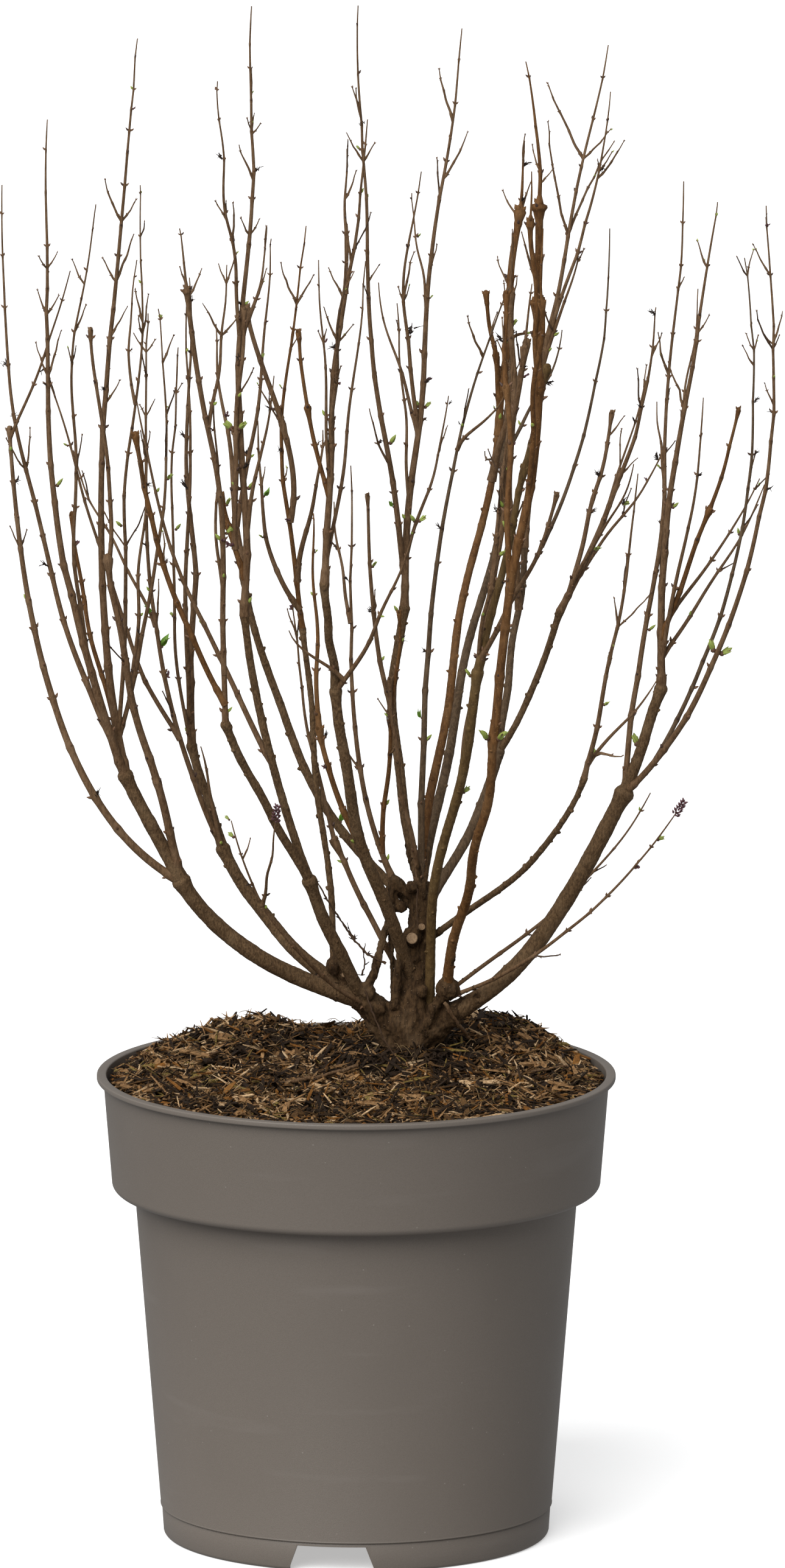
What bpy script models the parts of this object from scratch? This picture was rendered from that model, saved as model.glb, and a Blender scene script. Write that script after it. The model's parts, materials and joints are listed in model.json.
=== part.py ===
# Lilac shrub in a nursery pot, early spring, before the leaves.
# Z is up, X runs across the shrub, Y runs to its back. The pot's underside centre is the origin.
# Sizes are in millimetres and degrees, and MM turns them into metres.

import math
import random
from collections import namedtuple

import bmesh
import bpy
import numpy
from mathutils import Vector
from mathutils.bvhtree import BVHTree

MM = 0.001
GAP = 0.3
MERGE = 0.01
TURN_STEPS = 48
SHARP_ANGLE = 30.0

# pot
POT_HEIGHT = 253.0
RIM_RADIUS = 140.0
RIM_LIP_HEIGHT = 3.0
EDGE_ROUND = 0.8
INNER_ROUND = 3.0
BAND_TOP_RADIUS = 136.4
BAND_LOW_RADIUS = 131.8
BAND_LOW_HEIGHT = 190.0
BODY_TOP_RADIUS = 119.6
SEAM_RADIUS = 105.8
SEAM_HEIGHT = 16.4
SKIRT_RADIUS = 103.7
SKIRT_LOW_HEIGHT = 4.0
POT_WALL = 1.6
POT_FLOOR_TOP = 17.6
POT_FLOOR_UNDER = 15.2
FOOT_RADIUS = 101.4
HUB_RADIUS = 25.0
NOTCH_COUNT = 3
NOTCH_TURN = -7.4
NOTCH_HEIGHT = 14.2
NOTCH_TOP_WIDTH = 37.0
NOTCH_LOW_WIDTH = 48.0
NOTCH_DEPTH = 14.0
CUT_PAST = 1.0
DRAIN_COUNT = 6
DRAIN_RADIUS = 5.0
DRAIN_RING_RADIUS = 62.0
DRAIN_SIDES = 10

# fill
SOIL_TOP = 226.0
MULCH_EDGE_HEIGHT = 250.6
MULCH_CROWNING = 4.0
MULCH_LUMP = 1.3
MULCH_HEAPS = ((77.0, 86.0, 42.0, 22.0), (-62.0, 88.0, 36.0, 14.0))  # across, back, spread, height
MULCH_RINGS = (0.0, 0.2, 0.4, 0.6, 0.78, 0.92, 1.0)
MULCH_WALL_MARGIN = 0.6

# trunk: its flat cut stands in a shallow hollow of the mulch
TRUNK_X = 28.0
TRUNK_Y = 20.0
TRUNK_CUT = 250.0
HOLLOW_LOW_RADIUS = 15.0
HOLLOW_TOP_RADIUS = 20.1
HOLLOW_DEPTH = 14.0
HOLLOW_SIDES = 16
TRUNK_CORE = ((0.0, 0.0, 0.0, 27.0), (0.0, 0.0, 7.0, 22.5), (1.0, 1.0, 18.0, 24.0),
              (2.0, 2.0, 32.0, 27.0), (4.0, 3.0, 48.0, 19.0), (5.5, 4.0, 68.0, 12.5),
              (6.5, 5.0, 103.0, 11.4))  # across, back and up from the cut, width
TRUNK_ARMS = (("trunk_left", 20.0, -27.0, -3.0, 41.0, 21.0, 13.0),
              ("trunk_right", 18.0, 25.0, -6.0, 34.0, 21.0, 14.5),
              ("trunk_left_knob", 34.0, -40.0, 1.0, 57.0, 8.0, 6.0),
              ("trunk_right_knob", 28.0, 21.0, -13.0, 50.0, 9.0, 6.5),
              ("trunk_column_knob", 92.0, -9.0, 2.0, 107.0, 6.5, 5.0))
# each arm's foot height, then its tip across, back and up from the cut, then its two widths
TRUNK_LEAN = 0.05
TRUNK_SHARP_ANGLE = 50.0

# stems
TRUNK_SIDES = 10
BOUGH_SIDES = 6
TWIG_SIDES = 3
BOUGH_STEP = 26.0
LEADER_STEP = 66.0
BEND_PER_STEP = 22.0
CARRY_ON_ANGLE = 17.0
SEAT_STEP = 0.1
SEAT_LIMIT = 30.0
SEAT_LOOK_AHEAD = (0.0, 1.0, 2.0, 4.0, 7.0, 11.0)
DISC_RINGS = ((0.4, 5), (0.75, 8), (1.0, 12))  # share of the radius, spots
KNUCKLE_SWELL = 1.4
KNUCKLE_LENGTH = 7.0
WAVER = 0.010
WAVER_TURNS = (1.3, 2.1)
CROWD_SPACING = 2.0
CLEAR_OF_LIMBS = 1.2
OWN_SPACE = 0.6
TWIGS_FROM = 0.34
TWIGS_TO = 0.96
TWIG_SPACING = 74.0
TWIG_SPOT = (0.3, 0.7)
TWIG_LENGTH = (14.0, 32.0)
TWIG_LONGER_LOW = 1.25
TWIG_SHORTER_HIGH = 0.5
TWIG_LEAN = (26.0, 44.0)
TWIG_TIP_LEAN = 0.45
TWIG_WIDTH = 1.5
TWIG_TIP_WIDTH = 0.9

Stem = namedtuple("Stem", "name parent share across back up leaves ends foot tip bow", defaults=(0.0,))

# Each stem runs from its parent, at a share of the parent's length, to a tip given across, back
# and up from the origin. It leaves and ends at these slopes, and foot and tip are its widths.
# A last number, where there is one, bows its middle that far to the right, or left below zero.
BOUGHS = [
    Stem("bough_left_low", "trunk_left", 1.0, -94, 0, 358, 16, 60, 8.5, 7.2),
    Stem("bough_left_low_upper", "bough_left_low", 1.0, -124, -5, 417, 64, 66, 7.0, 6.0),
    Stem("bough_left_middle", "trunk_left", 0.95, -72, 52, 366, 24, 62, 7.2, 5.6),
    Stem("bough_left_middle_upper", "bough_left_middle", 1.0, -89, 66, 420, 70, 72, 4.6, 4.3),
    Stem("bough_left_steep", "trunk_left", 0.8, -25, -14, 361, 52, 66, 6.6, 5.9),
    Stem("bough_left_steep_outer", "bough_left_steep", 1.0, -70, -52, 454, 56, 64, 4.3, 4.0),
    Stem("bough_left_steep_inner", "bough_left_steep", 1.0, -60, -18, 507, 70, 84, 4.3, 3.6),
    Stem("bough_back_left", "trunk", 0.86, -61, 98, 507, 24, 78, 4.9, 3.3),
    Stem("bough_left_slender", "trunk_left_knob", 1.0, -29, 52, 487, 84, 78, 3.2, 2.8),
    Stem("bough_front", "trunk", 0.46, -11, -46, 471, 56, 84, 6.6, 4.9),
    Stem("bough_front_upper", "bough_front", 1.0, -17, -70, 534, 80, 84, 4.4, 3.8),
    Stem("bough_centre", "trunk", 1.0, 26, 70, 495, 78, 86, 4.9, 4.3, -9),
    Stem("bough_back_right", "trunk", 1.0, 77, 104, 584, 72, 76, 4.6, 3.3, -4),
    Stem("bough_back", "trunk", 0.80, 80, 150, 536, 54, 76, 5.3, 3.3, -8),
    Stem("bough_front_right", "trunk_right", 0.45, 65, -45, 481, 88, 82, 4.8, 4.8, -4),
    Stem("bough_front_right_outer", "trunk_right_knob", 1.0, 73, -82, 451, 68, 82, 4.9, 4.3),
    Stem("bough_right_steep", "trunk", 0.78, 77, 60, 418, 56, 76, 4.9, 4.6),
    Stem("bough_right_steep_inner", "bough_right_steep", 1.0, 91, 90, 525, 80, 86, 3.9, 3.0),
    Stem("bough_right_steep_outer", "bough_right_steep", 1.0, 110, 46, 498, 54, 72, 3.2, 3.3),
    Stem("bough_right_slender", "trunk", 0.66, 122, -64, 427, 34, 66, 3.4, 2.8),
    Stem("bough_right_low", "trunk_right", 1.0, 144, 6, 405, 26, 62, 8.5, 7.6),
    Stem("bough_right_low_upper", "bough_right_low", 1.0, 164, 10, 462, 66, 70, 5.6, 5.0),
]

# The first leader of each mass is its one stem, and the rest fork from the leader they name.
LEADERS = [
    Stem("twigs_left_rim", "bough_left_low", 1.0, -186, -9, 608, 28, 89, 4.3, 1.8, 4),
    Stem("twigs_left_rim_2", "twigs_left_rim", 0.98, -153, -24, 696, 64, 74, 1.6, 0.9),

    Stem("twigs_left_outer", "bough_left_low_upper", 1.0, -165, -30, 779, 62, 96, 4.3, 1.0, 5),
    Stem("twigs_left_outer_2", "twigs_left_outer", 0.07, -190, 16, 736, 62, 92, 3.0, 0.9),
    Stem("twigs_left_outer_3", "twigs_left_outer", 0.19, -139, -42, 735, 98, 75, 2.2, 0.9, -8),

    Stem("twigs_left_inner", "bough_left_low_upper", 1.0, -117, -6, 819, 104, 84, 4.2, 1.0, 3),
    Stem("twigs_left_inner_2", "twigs_left_inner", 0.05, -153, 22, 556, 70, 84, 2.6, 1.6),
    Stem("twigs_left_inner_3", "twigs_left_inner", 0.05, -115, -76, 751, 76, 90, 2.4, 0.9),
    Stem("twigs_left_inner_4", "twigs_left_inner", 0.05, -106, -16, 674, 72, 98, 2.4, 0.9),

    Stem("twigs_left_back", "bough_left_middle", 1.0, -112, 40, 662, 62, 92, 2.8, 1.1),
    Stem("twigs_left_back_2", "twigs_left_back", 0.22, -168, 66, 627, 55, 68, 2.4, 1.0),
    Stem("twigs_left_back_3", "twigs_left_back", 0.43, -153, 92, 578, 60, 68, 1.8, 0.9),

    Stem("twigs_left_knuckle", "bough_left_middle_upper", 1.0, -90, 90, 673, 84, 88, 3.6, 1.0),
    Stem("twigs_left_knuckle_2", "twigs_left_knuckle", 0.05, -91, 40, 672, 66, 95, 2.8, 1.0),

    Stem("twigs_left_steep", "bough_left_steep_outer", 1.0, -94, -90, 730, 84, 84, 3.6, 1.0, 6),
    Stem("twigs_left_steep_2", "twigs_left_steep", 0.04, -118, -68, 615, 60, 82, 3.0, 2.2),
    Stem("twigs_left_steep_3", "twigs_left_steep", 0.6, -69, -64, 706, 70, 86, 2.0, 0.9),

    Stem("twigs_top_left", "bough_left_steep_inner", 1.0, -56, 2, 836, 88, 90, 3.6, 1.0, -2),
    Stem("twigs_top_left_2", "twigs_top_left", 0.06, -73, -14, 573, 70, 74, 2.8, 2.2),
    Stem("twigs_top_left_3", "twigs_top_left", 0.46, -74, -32, 800, 84, 86, 2.0, 0.9),
    Stem("twigs_top_left_4", "twigs_top_left", 0.40, -48, 28, 711, 74, 88, 2.0, 0.9),

    Stem("twigs_back_left", "bough_back_left", 1.0, -76, 136, 640, 74, 84, 3.0, 1.0),
    Stem("twigs_back_left_2", "twigs_back_left", 0.2, -46, 116, 690, 78, 88, 2.2, 0.9),

    Stem("twigs_left_slender", "bough_left_slender", 1.0, -27, 62, 706, 96, 84, 2.6, 1.0, -9),
    Stem("twigs_left_slender_2", "twigs_left_slender", 0.05, -53, 48, 602, 50, 88, 2.2, 1.0),

    Stem("twigs_front_low", "bough_front", 1.0, 33, -96, 575, 44, 66, 2.6, 1.0),
    Stem("twigs_front_low_2", "twigs_front_low", 0.08, -36, -66, 508, 50, 70, 2.0, 1.0),

    Stem("twigs_front", "bough_front_upper", 1.0, 6, -110, 792, 88, 78, 3.6, 1.0),
    Stem("twigs_front_2", "twigs_front", 0.18, -31, -74, 672, 72, 86, 2.4, 1.6),
    Stem("twigs_front_3", "twigs_front", 0.04, 5, -52, 706, 74, 84, 2.2, 0.9),
    Stem("twigs_front_4", "twigs_front", 0.3, -6, -140, 734, 76, 88, 2.2, 0.9),
    Stem("twigs_front_5", "twigs_front", 0.62, -5, -84, 772, 78, 88, 2.2, 0.9),

    Stem("twigs_centre", "trunk_column_knob", 1.0, -3, 22, 582, 66, 88, 3.0, 1.0),
    Stem("twigs_centre_2", "twigs_centre", 0.62, -12, 46, 558, 66, 84, 2.0, 1.0),
    Stem("twigs_centre_3", "twigs_centre", 0.06, 23, -6, 507, 84, 86, 2.6, 1.4),

    Stem("twigs_top_centre", "bough_centre", 1.0, 57, 98, 808, 88, 82, 3.8, 1.0),
    Stem("twigs_top_centre_2", "twigs_top_centre", 0.06, 1, 50, 828, 78, 90, 3.0, 1.0),
    Stem("twigs_top_centre_3", "twigs_top_centre", 0.3, 35, 66, 735, 84, 86, 2.4, 0.9, -8),
    Stem("twigs_top_centre_4", "twigs_top_centre", 0.06, 50, 120, 603, 68, 82, 2.2, 0.9),
    Stem("twigs_top_centre_5", "twigs_top_centre", 0.3, 12, 104, 668, 72, 84, 2.0, 0.9),

    Stem("twigs_right_column", "trunk", 1.0, 82, 28, 678, 84, 72, 3.0, 1.0, -8),
    Stem("twigs_right_column_2", "twigs_right_column", 0.72, 80, 2, 626, 58, 72, 1.9, 0.9),

    Stem("twigs_back_right", "bough_back_right", 1.0, 91, 124, 737, 84, 82, 3.0, 1.0),
    Stem("twigs_back_right_2", "twigs_back_right", 0.3, 98, 150, 640, 80, 88, 2.0, 0.9),

    Stem("twigs_back", "bough_back", 1.0, 84, 176, 676, 80, 88, 3.0, 1.0),
    Stem("twigs_back_2", "twigs_back", 0.15, 112, 186, 628, 70, 86, 2.2, 0.9),
    Stem("twigs_back_3", "twigs_back", 0.15, 70, 192, 560, 70, 86, 2.2, 0.9),

    Stem("twigs_front_right", "bough_front_right", 1.0, 102, -60, 650, 76, 78, 3.2, 2.0),
    Stem("twigs_front_right_2", "twigs_front_right", 0.03, 107, -98, 588, 56, 72, 2.8, 1.6),
    Stem("twigs_front_right_3", "twigs_front_right_2", 0.72, 135, -78, 728, 62, 90, 2.0, 0.9),

    Stem("twigs_front_right_top", "bough_front_right_outer", 1.0, 90, -96, 821, 84, 100, 3.6, 1.0, 4),
    Stem("twigs_front_right_top_2", "twigs_front_right_top", 0.5, 93, -116, 765, 80, 88, 2.2, 0.9),
    Stem("twigs_front_right_top_3", "twigs_front_right_top", 0.36, 99, -138, 738, 72, 90, 2.2, 0.9),

    Stem("twigs_top_right", "bough_right_steep_inner", 1.0, 136, 110, 797, 80, 84, 3.0, 1.0, -8),
    Stem("twigs_top_right_2", "twigs_top_right", 0.36, 137, 82, 776, 74, 86, 2.2, 0.9),

    Stem("twigs_right_fan", "bough_right_steep_outer", 1.0, 161, 30, 667, 62, 88, 3.0, 1.0),
    Stem("twigs_right_fan_2", "twigs_right_fan", 0.06, 138, 70, 603, 70, 80, 2.6, 1.6),
    Stem("twigs_right_fan_3", "twigs_right_fan", 0.06, 149, 4, 586, 66, 74, 2.0, 1.0),
    Stem("twigs_right_fan_4", "twigs_right_fan", 0.06, 167, 86, 582, 58, 66, 2.0, 1.0),

    Stem("twigs_right_slender", "bough_right_slender", 1.0, 150, -104, 600, 68, 82, 2.6, 1.0),
    Stem("twigs_right_slender_2", "twigs_right_slender", 0.05, 161, -50, 478, 52, 58, 2.0, 1.0),

    Stem("twigs_right_middle", "bough_right_low", 1.0, 176, 46, 733, 78, 88, 3.0, 1.0),

    Stem("twigs_right_rim", "bough_right_low", 1.0, 219, -34, 733, 42, 97, 3.2, 1.0),
    Stem("twigs_right_rim_2", "twigs_right_rim", 0.05, 208, 0, 699, 56, 99, 2.4, 1.0),

    Stem("twigs_right_knuckle", "bough_right_low_upper", 1.0, 194, 26, 725, 92, 80, 3.6, 1.0),
    Stem("twigs_right_knuckle_2", "twigs_right_knuckle", 0.05, 186, -12, 625, 78, 88, 2.4, 1.0),
    Stem("twigs_right_knuckle_3", "twigs_right_knuckle", 0.1, 205, -18, 620, 70, 78, 2.8, 1.4),
    Stem("twigs_right_knuckle_4", "twigs_right_knuckle", 0.06, 220, 48, 567, 50, 64, 2.2, 1.0),

    Stem("twigs_low_right_back", "trunk_right_knob", 0.75, 159, 52, 397, 32, 62, 2.2, 1.0),
    Stem("twigs_low_right_front", "trunk_right_knob", 0.6, 172, -44, 405, 22, 56, 2.2, 1.0),

    Stem("twigs_low_left", "trunk_left", 0.7, -67, -54, 402, 24, 74, 2.4, 1.0),
    Stem("twigs_low_left_2", "twigs_low_left", 0.66, -43, -72, 407, 54, 72, 1.8, 1.0),
]


def clear_scene():
    for old in list(bpy.data.objects):
        bpy.data.objects.remove(old, do_unlink=True)


def new_collection(name):
    collection = bpy.data.collections.new(name)
    bpy.context.scene.collection.children.link(collection)
    return collection


def new_material(name, color, roughness):
    material = bpy.data.materials.new(name)
    material.use_nodes = True
    shader = material.node_tree.nodes["Principled BSDF"]
    shader.inputs["Base Color"].default_value = (*color, 1.0)
    shader.inputs["Roughness"].default_value = roughness
    shader.inputs["Metallic"].default_value = 0.0
    return material


def evaluated_mesh(obj):
    depsgraph = bpy.context.evaluated_depsgraph_get()
    return bpy.data.meshes.new_from_object(obj.evaluated_get(depsgraph))


def settle(obj):
    """Turn an object's live modifiers into its own mesh."""
    mesh = evaluated_mesh(obj)
    obj.modifiers.clear()
    obj.data = mesh


# ---------------------------------------------------------------- turned pieces

def turned(name, profile, collection):
    """Turn a profile of (radius, height) points round Z."""
    mesh = bpy.data.meshes.new(name)
    points = [(radius * MM, 0.0, height * MM) for radius, height in profile]
    edges = [(i, i + 1) for i in range(len(points) - 1)]
    mesh.from_pydata(points, edges, [])
    obj = bpy.data.objects.new(name, mesh)
    collection.objects.link(obj)
    screw = obj.modifiers.new("Turn", 'SCREW')
    screw.axis = 'Z'
    screw.angle = math.tau
    screw.steps = TURN_STEPS
    screw.render_steps = TURN_STEPS
    screw.use_merge_vertices = True
    screw.merge_threshold = MERGE * MM
    return obj


def pot_inner_wall():
    """The inside of the wall, from the floor up to the rim."""
    return [(SEAM_RADIUS - POT_WALL - INNER_ROUND, POT_FLOOR_TOP),
            (SEAM_RADIUS - POT_WALL, POT_FLOOR_TOP + INNER_ROUND),
            (BODY_TOP_RADIUS - POT_WALL, BAND_LOW_HEIGHT + POT_WALL),
            (BAND_LOW_RADIUS - POT_WALL, BAND_LOW_HEIGHT + POT_WALL),
            (BAND_TOP_RADIUS - POT_WALL, POT_HEIGHT - RIM_LIP_HEIGHT)]


def pot_profile():
    lip_low = POT_HEIGHT - RIM_LIP_HEIGHT
    inner_foot = SKIRT_RADIUS - POT_WALL
    rim = [(BAND_TOP_RADIUS - EDGE_ROUND, POT_HEIGHT - EDGE_ROUND),
           (BAND_TOP_RADIUS, POT_HEIGHT),
           (RIM_RADIUS - EDGE_ROUND, POT_HEIGHT),
           (RIM_RADIUS, POT_HEIGHT - EDGE_ROUND),
           (RIM_RADIUS, lip_low + EDGE_ROUND),
           (RIM_RADIUS - EDGE_ROUND, lip_low),
           (BAND_TOP_RADIUS, lip_low)]
    band = [(BAND_LOW_RADIUS, BAND_LOW_HEIGHT + INNER_ROUND),
            (BAND_LOW_RADIUS - EDGE_ROUND, BAND_LOW_HEIGHT + EDGE_ROUND),
            (BAND_LOW_RADIUS - INNER_ROUND, BAND_LOW_HEIGHT),
            (BODY_TOP_RADIUS, BAND_LOW_HEIGHT)]
    skirt = [(SEAM_RADIUS, SEAM_HEIGHT),
             (SEAM_RADIUS - EDGE_ROUND, SEAM_HEIGHT - EDGE_ROUND),
             (SKIRT_RADIUS, SKIRT_LOW_HEIGHT),
             (FOOT_RADIUS, 0.0),
             (FOOT_RADIUS - POT_WALL, 0.0),
             (inner_foot, SKIRT_LOW_HEIGHT),
             (inner_foot, POT_FLOOR_UNDER)]
    hub = [(HUB_RADIUS + EDGE_ROUND, POT_FLOOR_UNDER),
           (HUB_RADIUS, 0.0),
           (0.0, 0.0)]
    return [(0.0, POT_FLOOR_TOP)] + pot_inner_wall() + rim + band + skirt + hub


def cut_piece(name, bm, collection):
    bmesh.ops.recalc_face_normals(bm, faces=bm.faces)
    mesh = bpy.data.meshes.new(name)
    bm.to_mesh(mesh)
    bm.free()
    obj = bpy.data.objects.new(name, mesh)
    obj.hide_render = True
    obj.display_type = 'WIRE'
    collection.objects.link(obj)
    return obj


def notch_cutter(index, collection):
    """A wedge that takes one arch out of the skirt."""
    bm = bmesh.new()
    bmesh.ops.create_cube(bm, size=1.0)
    top = [v for v in bm.verts if v.co.z > 0]
    bmesh.ops.scale(bm, vec=(NOTCH_TOP_WIDTH / NOTCH_LOW_WIDTH, 1.0, 1.0), verts=top)
    size = (NOTCH_LOW_WIDTH * MM, NOTCH_DEPTH * MM, (NOTCH_HEIGHT + CUT_PAST) * MM)
    bmesh.ops.scale(bm, vec=size, verts=bm.verts)
    middle = (NOTCH_HEIGHT - CUT_PAST) / 2 * MM
    bmesh.ops.translate(bm, vec=(0.0, -SKIRT_RADIUS * MM, middle), verts=bm.verts)
    obj = cut_piece(f"notch_cutter_{index}", bm, collection)
    obj.rotation_euler[2] = math.radians(NOTCH_TURN) + index * math.tau / NOTCH_COUNT
    return obj


def drain_cutter(index, collection):
    bm = bmesh.new()
    depth = POT_FLOOR_TOP - POT_FLOOR_UNDER + 2 * CUT_PAST
    bmesh.ops.create_cone(bm, cap_ends=True, segments=DRAIN_SIDES, radius1=DRAIN_RADIUS * MM,
                          radius2=DRAIN_RADIUS * MM, depth=depth * MM)
    angle = (index + 0.5) * math.tau / DRAIN_COUNT
    middle = (POT_FLOOR_TOP + POT_FLOOR_UNDER) / 2 * MM
    ring = DRAIN_RING_RADIUS * MM
    spot = (ring * math.cos(angle), ring * math.sin(angle), middle)
    bmesh.ops.translate(bm, vec=spot, verts=bm.verts)
    return cut_piece(f"drain_cutter_{index}", bm, collection)


def make_pot(parts, cutters, material):
    pot = turned("pot", pot_profile(), parts)
    for index in range(NOTCH_COUNT):
        notch_cutter(index, cutters)
    for index in range(DRAIN_COUNT):
        drain_cutter(index, cutters)
    cut = pot.modifiers.new("Cut", 'BOOLEAN')
    cut.operation = 'DIFFERENCE'
    cut.operand_type = 'COLLECTION'
    cut.collection = cutters
    settle(pot)
    pot.data.materials.append(material)
    pot.data.shade_smooth()
    pot.data.set_sharp_from_angle(angle=math.radians(SHARP_ANGLE))


def make_soil(parts, material):
    """The root ball and compost, GAP clear of the pot's wall and floor."""
    wall = pot_inner_wall()
    floor = (wall[0][0] - GAP, wall[0][1] + GAP)
    corner = (wall[1][0] - GAP, wall[1][1])
    shelf = (wall[2][0] - GAP, wall[2][1] + GAP)
    shelf_edge = (wall[3][0] - GAP, wall[3][1] + GAP)
    top = (band_inner_radius(SOIL_TOP) - GAP, SOIL_TOP)
    profile = [(0.0, SOIL_TOP), top, shelf_edge, shelf, corner, floor, (0.0, floor[1])]
    soil = turned("soil", profile, parts)
    settle(soil)
    soil.data.materials.append(material)


def band_inner_radius(height):
    low = BAND_LOW_HEIGHT + POT_WALL
    high = POT_HEIGHT - RIM_LIP_HEIGHT
    share = (height - low) / (high - low)
    return BAND_LOW_RADIUS - POT_WALL + share * (BAND_TOP_RADIUS - BAND_LOW_RADIUS)


def mulch_height(x, y):
    """The heap's top: level at the rim, crowned inside it, higher in two places at the back."""
    edge = min(1.0, math.hypot(x, y) / (BAND_TOP_RADIUS - POT_WALL))
    inside = 1.0 - edge ** 10
    height = MULCH_EDGE_HEIGHT + MULCH_CROWNING * (1.0 - edge ** 2)
    for across, back, spread, rise in MULCH_HEAPS:
        distance = math.hypot(x - across, y - back)
        height += rise * inside * math.exp(-distance ** 2 / (2 * spread ** 2))
    lumps = math.sin(x * 0.11 + 0.7) * math.cos(y * 0.13) + math.sin((x + y) * 0.19)
    return height + MULCH_LUMP * inside * lumps


def make_mulch(parts, cutters, material):
    low = SOIL_TOP + GAP
    low_radius = band_inner_radius(low) - GAP
    edge_radius = band_inner_radius(MULCH_EDGE_HEIGHT - MULCH_WALL_MARGIN) - GAP
    profile = [(edge_radius * share, MULCH_EDGE_HEIGHT) for share in MULCH_RINGS]
    profile += [(low_radius, low), (0.0, low)]
    mulch = turned("mulch", profile, parts)
    settle(mulch)
    for vertex in mulch.data.vertices:
        if vertex.co.z > (low + MULCH_EDGE_HEIGHT) / 2 * MM:
            vertex.co.z = mulch_height(vertex.co.x / MM, vertex.co.y / MM) * MM
    bm = bmesh.new()
    bmesh.ops.create_cone(bm, cap_ends=True, segments=HOLLOW_SIDES, radius1=HOLLOW_LOW_RADIUS * MM,
                          radius2=HOLLOW_TOP_RADIUS * MM, depth=HOLLOW_DEPTH * MM)
    middle = (TRUNK_CUT - GAP + HOLLOW_DEPTH / 2) * MM
    bmesh.ops.translate(bm, vec=(TRUNK_X * MM, TRUNK_Y * MM, middle), verts=bm.verts)
    hollow = cut_piece("hollow_cutter", bm, cutters)
    cut = mulch.modifiers.new("Hollow", 'BOOLEAN')
    cut.operation = 'DIFFERENCE'
    cut.object = hollow
    settle(mulch)
    mulch.data.materials.append(material)


# ---------------------------------------------------------------- stems

def section(sides):
    """The outline that a stem's curve is swept with, 1 mm in radius."""
    outline = bpy.data.curves.new(f"section_{sides}", 'CURVE')
    outline.dimensions = '2D'
    spline = outline.splines.new('POLY')
    spline.points.add(sides - 1)
    for index, point in enumerate(spline.points):
        angle = index * math.tau / sides
        point.co = (math.cos(angle) * MM, math.sin(angle) * MM, 0.0, 1.0)
    spline.use_cyclic_u = True
    return bpy.data.objects.new(f"section_{sides}", outline)


def tube(name, points, widths, outline, collection):
    """Sweep a tapering closed tube along points, both in millimetres."""
    curve = bpy.data.curves.new(name, 'CURVE')
    curve.dimensions = '3D'
    curve.bevel_mode = 'OBJECT'
    curve.bevel_object = outline
    curve.use_fill_caps = True
    spline = curve.splines.new('POLY')
    spline.points.add(len(points) - 1)
    for target, point, width in zip(spline.points, points, widths):
        target.co = (*(point * MM), 1.0)
        target.radius = width / 2
    sweep = bpy.data.objects.new(name, curve)
    collection.objects.link(sweep)
    mesh = evaluated_mesh(sweep)
    bpy.data.objects.remove(sweep, do_unlink=True)
    bm = bmesh.new()
    bm.from_mesh(mesh)
    bmesh.ops.remove_doubles(bm, verts=bm.verts, dist=MERGE * MM)
    bmesh.ops.recalc_face_normals(bm, faces=bm.faces)
    bm.to_mesh(mesh)
    bm.free()
    mesh.name = name
    obj = bpy.data.objects.new(name, mesh)
    collection.objects.link(obj)
    return obj


def join_all(obj, helpers):
    """Unite an object with every object of a collection, which is then emptied."""
    if len(helpers.objects) == 0:
        return
    union = obj.modifiers.new("Unite", 'BOOLEAN')
    union.operation = 'UNION'
    union.operand_type = 'COLLECTION'
    union.collection = helpers
    union.solver = 'EXACT'
    settle(obj)
    for helper in list(helpers.objects):
        bpy.data.objects.remove(helper, do_unlink=True)


def slope_direction(heading, slope):
    """A unit vector at a slope above the level, along a level heading."""
    angle = math.radians(slope)
    return Vector((heading.x * math.cos(angle), heading.y * math.cos(angle), math.sin(angle)))


def stem_points(foot, stem, step, seed):
    """An even bend from the foot to the tip, with a slight waver."""
    tip = Vector((stem.across, stem.back, stem.up))
    heading = Vector((tip.x - foot.x, tip.y - foot.y, 0.0)).normalized()
    reach = (tip - foot).length / 3
    first = foot + slope_direction(heading, stem.leaves) * reach
    second = tip - slope_direction(heading, stem.ends) * reach
    count = max(3, round(reach * 3 / step + abs(stem.ends - stem.leaves) / BEND_PER_STEP))
    rng = random.Random(seed)
    side = heading.cross(Vector((0.0, 0.0, 1.0)))
    turns = rng.uniform(*WAVER_TURNS)
    phase = rng.uniform(0.0, math.tau)
    points = []
    for index in range(count + 1):
        t = index / count
        point = foot * (1 - t) ** 3 + first * 3 * t * (1 - t) ** 2
        point += second * 3 * t ** 2 * (1 - t) + tip * t ** 3
        fade = math.sin(math.pi * t)
        point.x += stem.bow * fade
        point += side * (reach * 3 * WAVER * fade * math.sin(phase + turns * math.tau * t))
        points.append(point)
    return points


def point_at(points, share):
    """The point at a share of a polyline's length, and its direction there."""
    lengths = [(b - a).length for a, b in zip(points, points[1:])]
    left = share * sum(lengths)
    for a, b, length in zip(points, points[1:], lengths):
        if left <= length:
            return a.lerp(b, left / length), (b - a).normalized()
        left -= length
    return points[-1].copy(), (points[-1] - points[-2]).normalized()


def taper(points, foot, tip):
    """Widths along a stem, thinner by an even share of its length."""
    lengths = [0.0]
    for a, b in zip(points, points[1:]):
        lengths.append(lengths[-1] + (b - a).length)
    return [foot + (tip - foot) * length / lengths[-1] for length in lengths]


def is_inside(tree, spot):
    """Whether a ray from the spot leaves a closed mesh an odd number of times."""
    ray = Vector((0.31, 0.22, 0.92)).normalized()
    crossings = 0
    while True:
        hit, _, _, _ = tree.ray_cast(spot, ray)
        if hit is None:
            return crossings % 2 == 1
        crossings += 1
        spot = hit + ray * 0.000001


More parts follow.
